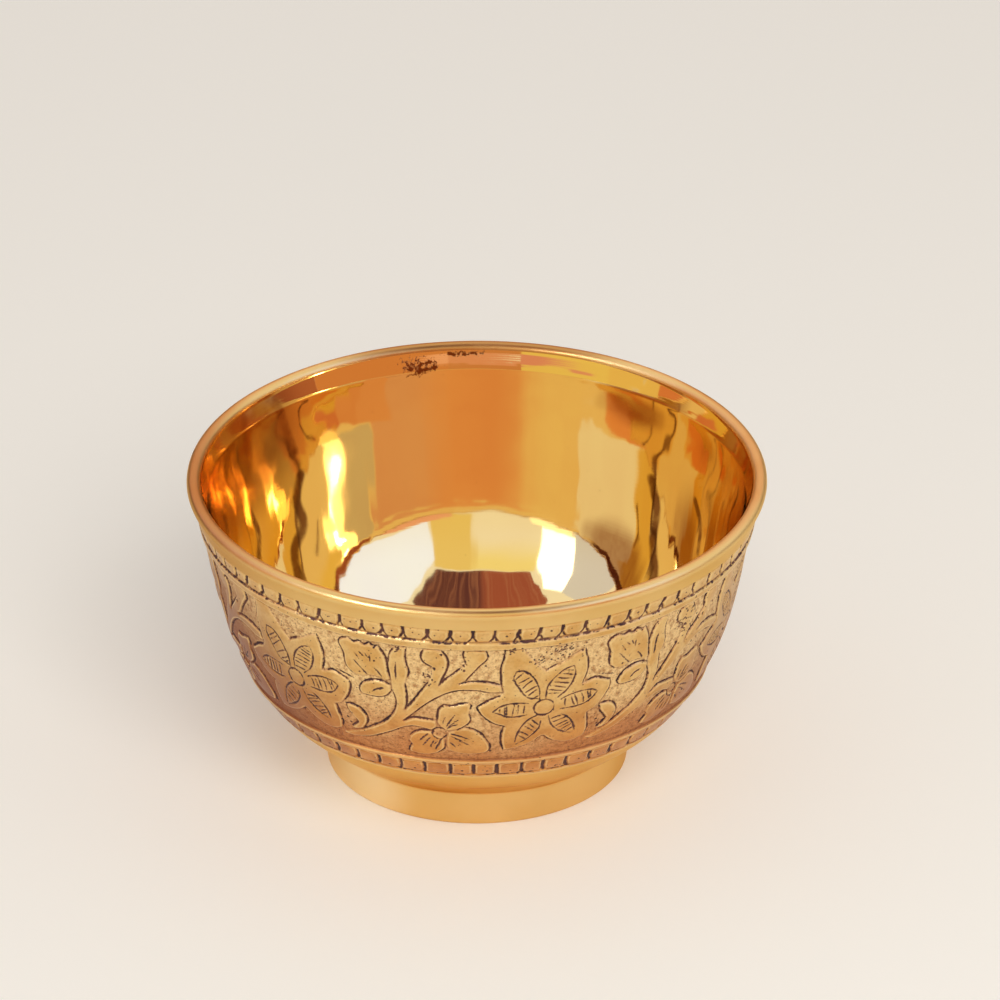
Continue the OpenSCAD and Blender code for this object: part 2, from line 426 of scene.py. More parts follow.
# %% Draw the scroll with its buds
SCROLL = [
    (CUT, [(-14.3, 16.7), (-13, 18), (-10.2, 21), (-8, 23), (-6, 24.4), (-4, 25.3), (-2, 25.6),
           (0.5, 25.5), (2.5, 25), (5, 25)]),
    (BARE, [(5, 25), (4.7, 26.8)]),
    (CUT, [(4.6, 26.8), (2.6, 27.5), (0.6, 27.8), (-1.2, 27.7), (-3.1, 27.2)]),
    (BARE, [(-3.1, 27.2), (-2, 27.9)]),
    (CUT, [(-2, 27.8), (-0.6, 29.8), (0.6, 31.4), (1.8, 32.8), (2.1, 34), (1.5, 35.6)]),
    (BARE, [(1.5, 35.6), (-0.4, 35.9), (-2.1, 35.5)]),
    (CUT, [(-2.1, 35.5), (-2.4, 34.2), (-2.1, 32.8), (-1.9, 31.9)]),
    (CUT, [(-2.9, 30.9), (-4.4, 29.4), (-5.9, 28), (-6.8, 26.9)]),
    (CUT, [(-6.9, 26.6), (-6.2, 28.4), (-5.4, 30.4), (-5.1, 32.4), (-5.5, 33.8), (-6.2, 34.9)]),
    (BARE, [(-6.2, 34.9), (-8, 35.5), (-9.6, 34.9)]),
    (CUT, [(-9.6, 34.9), (-10.1, 33.4), (-9.7, 31.9), (-8.2, 30.9)]),
    (BARE, [(-8.2, 30.9), (-8.3, 28.8), (-9, 27)]),
    (CUT, [(-9, 27), (-10.4, 24.9), (-11.8, 22.6), (-13.8, 19.7)]),
    (CUT, [(-13.8, 19.7), (-13.3, 21.6), (-13.2, 23.6), (-13.4, 26.2)]),
    (BARE, [(-13.4, 26.2), (-12.8, 27.8)]),
    (CUT, [(-12.8, 27.8), (-12.5, 29.2), (-12.9, 31.2), (-13, 33), (-12.7, 34.9)]),
    (BARE, [(-12.7, 34.9), (-14, 35.3), (-15.2, 34.4)]),
    (CUT, [(-15.2, 34.4), (-15.9, 33.2), (-16.3, 31.6), (-16.5, 29.6), (-16.2, 26.8)]),
    (BARE, [(-16.2, 26.8), (-16.1, 24.2)]),
    (CUT, [(-16.1, 24.2), (-15.6, 22.8), (-15.5, 21), (-16, 19), (-17.2, 17.1), (-18.9, 15.3),
           (-21, 13.8), (-23.2, 12.4), (-24.4, 11.8)]),
    (BARE, [(-24.4, 11.8), (-26.4, 10.9), (-28.6, 9.7), (-26.6, 9.1), (-24.2, 9.6)]),
    (CUT, [(-24.2, 9.6), (-21.5, 10.6), (-19, 12), (-16.5, 13.5), (-14.5, 14.8), (-12.8, 15.4),
           (-11, 15.4), (-9, 14.9)]),
    (BARE, [(-9, 14.9), (-8, 15.6), (-7.6, 16.6), (-7.9, 17.7)]),
    (CUT, [(-7.9, 17.7), (-9.8, 17.8), (-12, 17.9), (-13.2, 17.4), (-14.3, 16.7)]),
]
SIDE_LEAF = [
    (CUT, [(-16.1, 25.3), (-17.8, 26), (-19.6, 25.9), (-21.3, 25.2), (-22.3, 24.2), (-22.8, 22.8),
           (-22.2, 21.9)]),
    (CUT, [(-22.2, 21.9), (-20.4, 21.7), (-18.5, 21.9), (-17, 22.7), (-16.1, 24)]),
]
SPROUT = [
    (CUT, [(-26.4, 18.2), (-25, 18.4), (-23.5, 17.9), (-22.5, 16.9), (-22, 15.6), (-22.3, 14.1),
           (-23.4, 12.3)]),
    (BARE, [(-23.4, 12.3), (-25.4, 11.6), (-26.3, 12)]),
    (CUT, [(-26.3, 12), (-25.2, 13), (-24.3, 13.9)]),
    (CUT, [(-24.3, 14), (-25.2, 15.2), (-26.1, 16.6), (-26.4, 18.2)]),
]
HALF_FLOWER = [
    (CUT, [(-24, 34.9), (-25.5, 34.3), (-26.1, 33.2), (-25.7, 31.9), (-25.3, 30.6), (-25.3, 29),
           (-24.9, 27.6), (-23.8, 26.5)]),
    (BARE, [(-23.8, 26.5), (-22, 26.2), (-20.4, 26.8), (-18.6, 26.8), (-17, 26.3), (-16.1, 26.8)]),
    (CUT, [(-16.1, 26.8), (-16.4, 28.6), (-16.6, 30.6), (-16.9, 32.2), (-17.5, 33.5), (-18, 34.5)]),
    (CUT, [(-18, 34.5), (-19, 34.2), (-19.8, 34.8), (-20.8, 34.1), (-21.8, 34.7), (-22.8, 34.3),
           (-24, 34.9)]),
]
SCROLL_STROKES = [
    ([(-15, 26.9), (-15, 29.2), (-14.8, 31.4)], 0.34),
    ([(-20, 23.1), (-19, 23.9), (-17.7, 24.4)], 0.42),
    ([(-23.2, 30), (-21.9, 28.4), (-20.5, 26.8)], 0.3),
    ([(-19.2, 29), (-18.4, 28.2), (-17.8, 27.1)], 0.3),
    ([(-22.9, 31.8), (-22, 30.4)], 0.22),
    ([(-21.9, 32.2), (-21, 31.2)], 0.22),
    ([(-20.9, 32.4), (-20.2, 31.2)], 0.22),
    ([(-19.9, 32), (-19.8, 30.4)], 0.22),
    ([(-20.6, 29.2), (-20.9, 28.6)], 0.22),
    ([(-27.6, 26.3), (-25.6, 25.7), (-23.7, 25.1)], 0.24),
]
SCROLL_DOTS = [
    (-2.2, 30.5, 0.38), (-6.3, 34.1, 0.34), (-7.7, 30.6, 0.42), (-22.2, 27.3, 0.26),
    (-19, 30.7, 0.24), (-18.8, 33.9, 0.26), (-26.7, 14.3, 0.28), (-26.2, 13, 0.3),
    (2.8, 9.1, 0.3), (1.7, 31.4, 0.22),
]
print("scroll:", sum(len(run) for _, run in SCROLL), "points")

# %% [markdown]
# The pansy has three petals round a small ring, each a closed outline with strokes from its middle.

# %% Draw the pansy
PANSY_PETALS = [
    [(CUT, [(-7.7, 17.2), (-7.5, 19.2), (-7.2, 20.6), (-6.2, 21.8)]),
     (CUT, [(-6, 21.8), (-4.6, 21.7), (-2.9, 22.3), (-1.4, 22.6)]),
     (CUT, [(-1.4, 22.6), (-1, 21.8), (-1.2, 20.9)]),
     (CUT, [(-1.4, 19.6), (-1.1, 18.5), (-1.4, 17.3), (-2.5, 16.2), (-3.8, 15.4)]),
     (BARE, [(-3.8, 15.4), (-5.6, 15.2), (-7, 16)])],
    [(BARE, [(-5.6, 14.6), (-4.4, 15.5)]),
     (CUT, [(-2.2, 16.1), (-0.6, 15.6), (0.9, 14.4), (1.9, 12.7), (2.7, 11), (2.6, 9.6), (2, 8.9)]),
     (BARE, [(2, 8.9), (0.4, 8.5), (-1.6, 8.3), (-3.8, 8.6), (-5.6, 9.3)]),
     (BARE, [(-5.6, 9.3), (-6.1, 11), (-6, 13)])],
    [(CUT, [(-9, 14.8), (-10.6, 14.7), (-12.2, 14.1), (-13.4, 12.9)]),
     (BARE, [(-13.4, 12.9), (-13.8, 11.6), (-13.3, 10.3)]),
     (CUT, [(-13.3, 10.3), (-13.9, 9.2), (-14.2, 8)]),
     (BARE, [(-14.2, 8), (-12.2, 7.5), (-10.2, 7.5), (-8.2, 8.2)]),
     (CUT, [(-8.2, 8.2), (-7, 9.2), (-6.4, 10.2), (-6.3, 11.4)]),
     (BARE, [(-6.3, 11.4), (-6.6, 13.2), (-8.4, 14.2)])],
]
PANSY_STROKES = [
    [(-6.5, 17), (-6.3, 18), (-6, 18.8)], [(-5.9, 16.2), (-5, 18), (-4.1, 19.5)],
    [(-5.6, 16), (-4.5, 17.3), (-3.4, 18.4)], [(-5.7, 15.8), (-4.8, 16.5), (-3.7, 17)],
    [(-5, 14.4), (-3.2, 13.8), (-1.4, 13)], [(-5, 13.7), (-3.9, 13.1), (-2.8, 12.4)],
    [(-3.4, 12.4), (-2.4, 12), (-1.5, 11.4)], [(-5.3, 12), (-4.7, 11.3), (-4.2, 10.6)],
    [(-3.6, 11.8), (-3, 11.2)], [(-9.6, 14), (-10.6, 12.9), (-11.5, 11.7)],
    [(-9.2, 13), (-10, 11.9), (-10.8, 10.6)], [(-8.6, 12.1), (-9, 11.2), (-9.4, 10.3)],
    [(-7, 12.9), (-7.6, 11.3), (-8.4, 9.6)], [(-7.8, 12.2), (-8.4, 11.4)],
]
PANSY_CENTRE = (-7.3, 14.2)
PANSY_CENTRE_R = 1.4
print("pansy:", len(PANSY_PETALS), "petals,", len(PANSY_STROKES), "strokes")

# %% [markdown]
# ## The band goes round by hand
# A chaser draws each repeat again by eye, so all but the front one are bent a little by a slow wave
# of a fraction of a millimetre.


# %% Wave the design by hand
def by_hand(turn, spread, bend):
    """A function that puts the design's points in one repeat's place."""
    phase = rng.uniform(0, math.tau, 6)

    def place(points):
        p = np.array(points, float).reshape(-1, 2)
        du = np.sin(p[:, 1] / 5.1 + phase[0]) + np.sin(p[:, 0] / 4.3 + phase[1])
        dv = np.sin(p[:, 0] / 5.7 + phase[2]) + np.sin(p[:, 1] / 6.2 + phase[3])
        return np.stack([turn + p[:, 0] * spread + bend * du, p[:, 1] + bend * 0.6 * dv], -1)

    return place


print("repeats are", round(TURN / SECTORS, 1), "mm apart on average")

# %% [markdown]
# Each repeat is cut in one order: the star flower with its veins, the scroll, leaves and pansy, then
# the small strokes and the punched dots. The hatches in a vein stop a little short of its sides.


# %% Draw one repeat
OUTLINE_W = 0.32


def chase_outline(runs, place):
    """Cuts the runs that are cut, and raises what they close in."""
    loop = []
    for is_cut, points in runs:
        put = place(points)
        loop.append(smooth_path(put, 0.6))
        if is_cut:
            chisel(put, OUTLINE_W)
    pad(raised, np.vstack(loop))


def chase_vein(one, two, hatches, place):
    """Cuts a petal's two sides and the hatches between them."""
    a = smooth_path(place(one))
    b = smooth_path(place(two))
    chisel(place(one), OUTLINE_W, 0.16)
    chisel(place(two), OUTLINE_W, 0.16)
    for k in range(hatches):
        share = 0.1 + 0.76 * (k + rng.uniform(0.3, 0.7)) / hatches
        p = a[int(share * (len(a) - 1))]
        q = b[int(min(1, share + rng.uniform(-0.02, 0.05)) * (len(b) - 1))]
        chisel([p + (q - p) * 0.12, (p + q) / 2 + rng.normal(0, 0.05, 2), q - (q - p) * 0.12], 0.25, 0.12)


def chase_repeat(place):
    """Cuts the whole design once."""
    chase_outline(STAR, place)
    for one, two, hatches in STAR_VEINS:
        chase_vein(one, two, hatches, place)
    a = np.linspace(0.2, math.tau + 0.1, 22)
    round_centre = np.stack([np.cos(a), np.sin(a)], -1)
    chisel(place(STAR_CENTRE + STAR_CENTRE_R * round_centre), 0.36, 0.18)
    for runs in (SCROLL, SIDE_LEAF, SPROUT, HALF_FLOWER, *PANSY_PETALS):
        chase_outline(runs, place)
    for points, width in SCROLL_STROKES:
        chisel(place(points), width)
    for points in PANSY_STROKES:
        chisel(place(points), 0.27, 0.12)
    chisel(place(PANSY_CENTRE + PANSY_CENTRE_R * round_centre), 0.28, 0.15)
    for u, v, r in SCROLL_DOTS:
        dent(*place([(u, v)])[0], r, 0.15)


print("outlines in a repeat:", 5 + len(PANSY_PETALS))

# %% [markdown]
# The three repeats that the photograph shows are 51 mm apart, and the other three share what is left
# of the circle, so they are 53 mm apart and stretched as much. Copying one finished repeat six times
# would be quicker, but the eye finds such copies at once.

# %% Chase the six repeats
SEEN_PITCH = 51.0
BEND = 0.22
HIDDEN_PITCH = (TURN - 2 * SEEN_PITCH) / 4
turns = [0, SEEN_PITCH, -SEEN_PITCH] + [SEEN_PITCH + HIDDEN_PITCH * k for k in (1, 2, 3)]
for count, turn in enumerate(turns):
    spread = 1.0 if count < 3 else HIDDEN_PITCH / SEEN_PITCH
    chase_repeat(by_hand(turn, spread, 0 if count == 0 else BEND))
print("chased", len(turns), "repeats")

# %% [markdown]
# ## Borders
# Above the band runs a row of tiles parted by chisel cuts that fork at the foot, with a dot punched
# on some tiles. Below it runs a row of wider tiles with rounded corners, parted by curved cuts. An
# even row of copies would look stamped, so the cuts that the photograph shows are placed one by one,
# and the rest follow at the same pitch.

# %% Place the cuts and the tiles
UPPER_CUTS = [-50.5, -47, -42.5, -38, -33.7, -29.2, -25, -20.6, -16.8, -13, -8.6, -4.6, -0.6, 3.2, 7.4,
              11.2, 15.3, 19.6, 23.9, 28.2, 31.8, 35.5, 39.3, 43.2, 47.7, 51.8]
LOWER_CUTS = [-44.5, -38.5, -32.7, -27.3, -22, -16.8, -11.4, -5.7, -0.7, 4.4, 9.9, 14.7, 20, 25.8,
              31.2, 36.7, 42]


def carry_on(seen, pitch):
    """The seen places, and as many more as go round the rest of the circle at about that pitch."""
    left = TURN - (seen[-1] - seen[0])
    more = round(left / pitch)
    return list(seen) + [seen[-1] + left * k / more for k in range(1, more)]


CORNER = 0.7
TILE_GAP = 0.25


def lay_tile(u0, u1, v0, v1, lean):
    """A tile with rounded corners between two cuts, whose low end leans aside."""
    c = CORNER
    middle = (v0 + v1) / 2
    corners = [(u0 + c, v0, 1), (u1 - c, v0, 1), (u1, v0 + c, 1), (u1, middle, 0.3), (u1, v1 - c, 0),
               (u1 - c, v1, 0), (u0 + c, v1, 0), (u0, v1 - c, 0), (u0, middle, 0.3), (u0, v0 + c, 1)]
    pad(tiled, [(u + lean * share, v) for u, v, share in corners], 0.45)


print("cuts placed one by one:", len(UPPER_CUTS), "and", len(LOWER_CUTS))

# %% [markdown]
# Each cut of the upper row is a stroke with two toes. Each cut of the lower row curves to the side on
# which it stands, as the photograph shows, with a short second stroke at its foot.

# %% Cut the two borders
upper_cuts = carry_on(UPPER_CUTS, 4.08)
lower_cuts = carry_on(LOWER_CUTS, 5.4)
for u, after in zip(upper_cuts, upper_cuts[1:] + [upper_cuts[0] + TURN]):
    lean = rng.normal(0, 0.12)
    fork = rng.uniform(0.45, 0.85)
    chisel([(u + 0.15 + lean, 40.5), (u + 0.05, 39.4), (u - 0.1 - lean, 38.6)], 0.66, 0.3, 0.3, 0.1)
    chisel([(u, 39), (u - 0.35, 38.2), (u - fork - 0.1, 37.6)], 0.42, 0.24, 0.3, 0.3)
    chisel([(u, 39), (u + 0.25, 38.3), (u + fork * 0.8, 37.7)], 0.36, 0.24, 0.3, 0.3)
    lay_tile(u + TILE_GAP, after - TILE_GAP, 37.65, 40.45, 0)
    if rng.random() < 0.8:
        at_u = (u + after) / 2 + rng.normal(0, 0.25)
        dent(at_u, 39.1 + rng.normal(0, 0.15), rng.uniform(0.15, 0.26), 0.12)
SEEN_SIDE = 60
# On the side that the photograph shows, the lower cuts lean more the further round they are
for u, after in zip(lower_cuts, lower_cuts[1:] + [lower_cuts[0] + TURN]):
    side = (u + TURN / 2) % TURN - TURN / 2
    lean = np.clip(side / 26, -1.2, 1.2) if abs(side) < SEEN_SIDE else rng.normal(0, 0.3)
    chisel([(u, 4.95), (u + 0.05 * lean, 3.6), (u + 0.2 * lean, 2.4), (u + lean, 0.95)], 0.62, 0.3, 0.3, 0.2)
    chisel([(u + 0.1 * lean, 2.6), (u - 0.45 + 0.4 * lean, 1.4)], 0.34, 0.2, 0.4)
    lay_tile(u + TILE_GAP, after - TILE_GAP, 0.95, 4.85, lean)
    if rng.random() < 0.6:
        dent((u + after) / 2 + rng.normal(0, 0.3), 2.3 + rng.normal(0, 0.3), rng.uniform(0.16, 0.28), 0.12)
print("upper cuts:", len(upper_cuts), " lower cuts:", len(lower_cuts))

# %% [markdown]
# Beside the borders the chaser tapped along with a small chisel, which leaves short strokes that
# almost meet. They are placed at random, some left out, because no two on the real bowl are alike.

# %% Cut the dashed lines beside the borders
# Each line: how far up the wall it runs, how wide it is, and the share of its strokes that is cut
LINES = [(35.45, 0.24, 0.75), (37.3, 0.3, 0.8), (40.75, 0.2, 0.5), (5.05, 0.22, 0.5), (0.75, 0.2, 0.5)]
for v_line, width, kept in LINES:
    u = -TURN / 2
    while u < TURN / 2 - 1:
        length = rng.uniform(0.8, 3.2)
        wave = rng.normal(0, 0.06, 3)
        if rng.random() < kept:
            chisel([(u, v_line + wave[0]), (u + length / 2, v_line + wave[1]),
                    (u + length, v_line + wave[2])], width * rng.uniform(0.6, 1.3), 0.14, 0.5, 0.8)
        u += length + rng.uniform(0.05, 0.3)
print("dashed lines:", len(LINES))

# %% [markdown]
# Sand and gas leave small pits in a casting. The photograph shows them in a few patches near the top
# of the band, and a few more are laid on the side that it doesn't show.

# %% Pit the casting
# Each patch: from and to round the bowl, from and to up the wall, and its number of pits
PIT_PATCHES = [(4.8, 8.4, 34.3, 36.2, 26), (13.5, 19.5, 31.5, 36, 60), (9.8, 13.2, 30.8, 33.2, 18),
               (-10.5, -8, 26, 30.5, 24), (-17, -12.6, 33.4, 35.8, 20), (40.5, 46, 27, 35.5, 60),
               (-3, -0.5, 30, 34, 8), (60, 70, 30, 36, 50), (-92, -84, 28, 35, 40), (118, 126, 30, 36, 40)]
for u0, u1, v0, v1, many in PIT_PATCHES:
    for _ in range(many):
        at_u = (u0 + u1) / 2 + rng.normal(0, (u1 - u0) / 4)
        at_v = min((v0 + v1) / 2 + rng.normal(0, (v1 - v0) / 4), 36.4)
        dent(at_u, at_v, rng.uniform(0.12, 0.26), rng.uniform(0.06, 0.14))
print("pitted patches:", len(PIT_PATCHES))

# %% [markdown]
# ## Scattered marks and slow waves
# Three helpers fill the grid without drawing each mark. A scatter of points, one in each cell of a
# loose net, stands for punch marks. Waves of random length stand for what a hammer leaves, and an
# average over a small square is what the eye takes for the surface round a point.


# %% Make the scatter, the waves and the average
def jitter_cells(pitch, seed):
    """Distance from every grid point to the nearest of many scattered points, about one per pitch."""
    draw = np.random.default_rng(seed)
    across = int(TURN / pitch)
    up = int((V_TOP - V_FOOT) / pitch) + 3
    ju = draw.uniform(0.15, 0.85, (up, across))
    jv = draw.uniform(0.15, 0.85, (up, across))
    best = np.full((ROWS, COLS), FAR)
    cell_i = ((row_v - V_FOOT) / pitch).astype(int)[:, None]
    cell_j = ((col_u + TURN / 2) / (TURN / across)).astype(int)[None, :]
    for di in (-1, 0, 1):
        for dj in (-1, 0, 1):
            i = np.clip(cell_i + di, 0, up - 1)
            j = (cell_j + dj) % across
            du = (cell_j + dj + ju[i, j]) * (TURN / across) - TURN / 2 - col_u[None, :]
            dv = (i + jv[i, j]) * pitch + V_FOOT - row_v[:, None]
            best = np.minimum(best, np.hypot(du * row_k[:, None], dv))
    return best


def band(v0, v1, soft=0.15):
    """1 between two lengths up the wall and 0 outside, with soft edges."""
    return (np.clip((row_v - v0) / soft + 0.5, 0, 1) * np.clip((v1 - row_v) / soft + 0.5, 0, 1))[:, None]


def slow_wave(reach, seed):
    """A smooth random height from -1 to 1 that changes over about that many millimetres."""
    draw = np.random.default_rng(seed)
    total = np.zeros((ROWS, COLS))
    for _ in range(14):
        turns_round = int(draw.integers(1, int(TURN / reach) + 1))
        up = draw.uniform(-1, 1) * math.tau / reach
        total += np.sin(turns_round * col_u[None, :] / ROUND + up * row_v[:, None] + draw.uniform(0, 6.28))
    return total / 5


def softened(grid, reach):
    """The average of the grid over a square of that many steps each way."""
    total = sum(np.roll(grid, k, axis=1) for k in range(-reach, reach + 1))
    padded = np.pad(total, ((reach, reach), (0, 0)), mode="edge")
    total = sum(padded[k:k + ROWS] for k in range(2 * reach + 1))
    return total / (2 * reach + 1) ** 2


print("the grid has", ROWS * COLS, "points to fill")

# %% [markdown]
# ## From marks to heights
# The ground of the band is punched all over with a blunt matting tool, about one mark in every
# 0.6 mm. Turned rings stand a little proud, and the turned lines are shallow grooves. All of these
# are added up into one height, which is simpler than cutting them one after another.

# %% Punch the ground and add the heights up
GROUND_DEEP = 0.32
PUNCH_PITCH = 0.62
PUNCH_DEEP = 0.1
PUNCH_R = 0.3
SPECK_PITCH = 1.9
SPECK_DEEP = 0.04
SPECK_R = 0.2
WAVE_MM = 0.035
TILE_RISE = 0.14
TILE_SUNK = 0.14

field = band(v_of(LOW_RING_Z) + 0.1, 35.35, 0.3)
tiles = band(37.4, 40.6, 0.3) + band(0.7, 5.0, 0.3)
ground = field * (1 - raised)
punched = np.clip(1 - jitter_cells(PUNCH_PITCH, 11) / PUNCH_R, 0, 1)
speckle = np.clip(1 - jitter_cells(SPECK_PITCH, 12) / SPECK_R, 0, 1)
rough = np.clip(slow_wave(14, 13) * 0.5 + 0.5, 0, 1)

height = -GROUND_DEEP * ground - cut
height -= PUNCH_DEEP * punched * ground * (0.5 + 0.8 * rough)
height -= SPECK_DEEP * speckle * (field + tiles)
height += RING_PROUD * band(v_of(LOW_BORDER_Z), v_of(LOW_RING_Z), 0.3)
height += RING_PROUD * band(v_of(BAND_TOP_Z), v_of(RING_TOP_Z), 0.3)
height += WAVE_MM * slow_wave(9, 14) * field
height += (TILE_RISE * np.clip(tiled, 0, 1) - TILE_SUNK) * tiles
for z in (LOW_LINE_Z, LOW_BORDER_Z, BAND_TOP_Z, RING_TOP_Z, RIM_LINE_Z):
    height -= (LINE_DEEP * np.clip(1 - np.abs(row_v - v_of(z)) * 2 / LINE_W, 0, 1))[:, None]
height[0] = -LINE_DEEP
height[-1] = -LINE_DEEP
# How far each point stands above or below its surroundings, for a painted highlight on what stands proud and
# painted shade on what lies low
edged = np.clip((height - softened(height, 3)) / 0.1, -1.5, 1.5)
print("relief from", round(height.min(), 2), "to", round(height.max(), 2), "mm")

# %% [markdown]
# ## Spinning an outline
# Everything on the bowl was turned, so every piece starts as an outline in one upright plane that a
# spin carries round the axis. One spin of many steps is slow, so a first spin makes a strip, a second
# one repeats the strip, and the joints are welded. A strip that stops short of a full ring gets its
# two open ends filled.


# %% Make the spinning helpers
WELD = 1e-6


def outline_to_mesh(bm, points, angle, closed):
    """Puts an outline of radius and height, in millimetres, in the plane at an angle from the front."""
    made = [bm.verts.new((r * MM * math.sin(angle), -r * MM * math.cos(angle), z * MM)) for r, z in points]
    edges = [bm.edges.new(pair) for pair in zip(made, made[1:])]
    if closed:
        edges.append(bm.edges.new((made[-1], made[0])))
    return made, edges


def spin_in_copies(bm, verts, edges, angle, steps, copies, whole):
    """Spins the outline through one copy's share of the angle, repeats that strip and welds the joints."""
    share = angle / copies
    bmesh.ops.spin(
        bm, geom=verts + edges, cent=(0, 0, 0), axis=(0, 0, 1), dvec=(0, 0, 0),
        angle=share, steps=steps // copies, use_merge=False, use_duplicate=False,
    )
    bmesh.ops.spin(
        bm, geom=bm.verts[:] + bm.edges[:] + bm.faces[:], cent=(0, 0, 0), axis=(0, 0, 1),
        dvec=(0, 0, 0), angle=angle - share, steps=copies - 1, use_merge=False, use_duplicate=True,
    )
    bmesh.ops.remove_doubles(bm, verts=bm.verts, dist=WELD)
    if not whole:
        rim = [e for e in bm.edges if e.is_boundary]
        bmesh.ops.holes_fill(bm, edges=rim, sides=0)
    bmesh.ops.recalc_face_normals(bm, faces=bm.faces)


print("joints are welded within", WELD / MM, "mm")

# %% [markdown]
# A finished bmesh becomes an object. Its points still know which point of the outline they come from,
# so they can be moved or given values afterwards, and a finish reads those values by name.


# %% Make the mesh helpers
def piece_from(bm, name):
    """An object of the bmesh's shape, linked to the scene."""
    mesh = bpy.data.meshes.new(name)
    bm.to_mesh(mesh)
    bm.free()
    piece = bpy.data.objects.new(name, mesh)
    bpy.context.scene.collection.objects.link(piece)
    return piece


def read_points(mesh):
    """The place of every point of a mesh, and which point of the outline it was spun from."""
    place = np.empty(len(mesh.vertices) * 3)
    mesh.vertices.foreach_get("co", place)
    tag = np.empty(len(mesh.vertices), np.int32)
    mesh.attributes["row"].data.foreach_get("value", tag)
    return place.reshape(-1, 3), tag


def keep_values(mesh, name, values):
    """Keeps a number for every point of a mesh, which a finish can read by its name."""
    mesh.attributes.new(name, "FLOAT", "POINT").data.foreach_set("value", values.astype(np.float32))


print("meshes so far:", len(bpy.data.meshes))

# %% [markdown]
# ## The chased band as six slabs
# One mesh of the whole band would have a million triangles, and its STL file would be thinned. So the
# band is cut into six equal slabs of about 176,000, each a closed solid one millimetre thick, let into
# the turned wall. A displacement in the material would leave the mesh plain, so each slab's outer
# points are moved to their heights, as a sculptor would. The normals come from the whole ring, so
# that no joint shows.


# %% Find the carved places and their normals
def carved(points, out, lift, angle):
    """The places of outline points at an angle, lifted along the outward direction."""
    r = (points[:, 0] + lift * out[:, 0]) * MM
    z = (points[:, 1] + lift * out[:, 1]) * MM
    return np.stack([r * np.sin(angle), -r * np.cos(angle), z], -1)


def ring_normals():
    """The outward normal at every grid point, from its neighbours on the whole ring."""
    r = row_point[:, :1] + height * row_out[:, :1]
    z = row_point[:, 1:] + height * row_out[:, 1:]
    a = (col_u / ROUND)[None, :]
    place = np.stack([r * np.sin(a), -r * np.cos(a), z], -1)
    round_way = np.roll(place, -1, axis=1) - np.roll(place, 1, axis=1)
    up_way = np.gradient(place, axis=0)
    out = np.cross(round_way, up_way)
    return out / np.linalg.norm(out, axis=-1, keepdims=True)


normals = ring_normals()
print("normals found:", normals.shape[0] * normals.shape[1])

# %% [markdown]
# Each slab starts as its own closed outline, the grid's rows in front and ten points behind, in the
# plane of one cut. A spin turns that through 60 degrees. A point's angle then tells which column of
# the grid it belongs to, and its kept row tells the rest.

# %% Spin and carve the slabs
SLAB_T = 1.0
BACK_POINTS = 10
SLAB_STRIPS = 15
INSIDE = -1

back_v = np.linspace(V_TOP, V_FOOT, BACK_POINTS)
back_point, _ = wall_at(back_v, np.full(BACK_POINTS, SLAB_T))
slab_outline = np.vstack([row_point, back_point])
slabs = []
for sector in range(SECTORS):
    first_col = sector * SECTOR_STEPS + SECTOR_STEPS // 2
    start = col_u[first_col] / ROUND
    bm = bmesh.new()
    row_tag = bm.verts.layers.int.new("row")
    verts, edges = outline_to_mesh(bm, slab_outline, start, True)
    for n, vert in enumerate(verts):
        vert[row_tag] = n if n < ROWS else INSIDE
    spin_in_copies(bm, verts, edges, math.tau / SECTORS, SECTOR_STEPS, SLAB_STRIPS, False)
    slab = piece_from(bm, f"chased_band_{sector + 1}")
    slabs.append(slab)
    mesh = slab.data

    place, tag = read_points(mesh)
    angle = np.arctan2(place[:, 0], -place[:, 1])
    step = np.round(((angle - start) % math.tau) / (math.tau / COLS)).astype(int) % COLS
    col = (first_col + step) % COLS
    outer = tag >= 0
    row = tag[outer]
    place[outer] = carved(row_point[row], row_out[row], height[row, col[outer]], angle[outer])
    mesh.vertices.foreach_set("co", place.ravel())
    mesh.update()

    for name, grid, inner in (("to_line", to_line, FAR), ("ground", ground, 0.0), ("edged", edged, 0.0),
                              ("punched", punched * ground + speckle * (field + tiles), 0.0)):
        values = np.full(len(place), inner)
        values[outer] = grid[row, col[outer]]
        keep_values(mesh, name, values)
    facing = np.zeros((len(place), 3))
    facing[outer] = normals[row, col[outer]]
    mesh.polygons.foreach_set("use_smooth", np.ones(len(mesh.polygons), bool))
    mesh.normals_split_custom_set_from_vertices(facing)
    mesh.attributes.remove(mesh.attributes["row"])
triangles = sum(len(f.vertices) - 2 for f in slabs[0].data.polygons)
print("slabs:", len(slabs), "with", triangles, "triangles each")

# %% [markdown]
# ## The turned bowl under the band
# The rest of the bowl is what the turner leaves plain: the mirror-polished inside, the rounded lip,
# the flare under it, the band above the foot and the seat on the foot ring. It is one outline, from
# the middle of the floor over the lip and back to the middle of the underside, with a shallow recess
# where the slabs lie. The recess ends in the middle of two turned lines, where a joint can't be seen.
# The inside wall follows the outside, 2.2 mm away, up to the throat. There it bends out a little less
# than the outside does before it meets the lip, as the photograph's reflections show. The CAD's own
# mesh could be dressed instead, but its flat facets would break up every reflection.

# %% Draw the inside
THROAT_Z = 51.3
INNER_LIP_SLOPE = 70.0
THROAT_HANDLE = 6

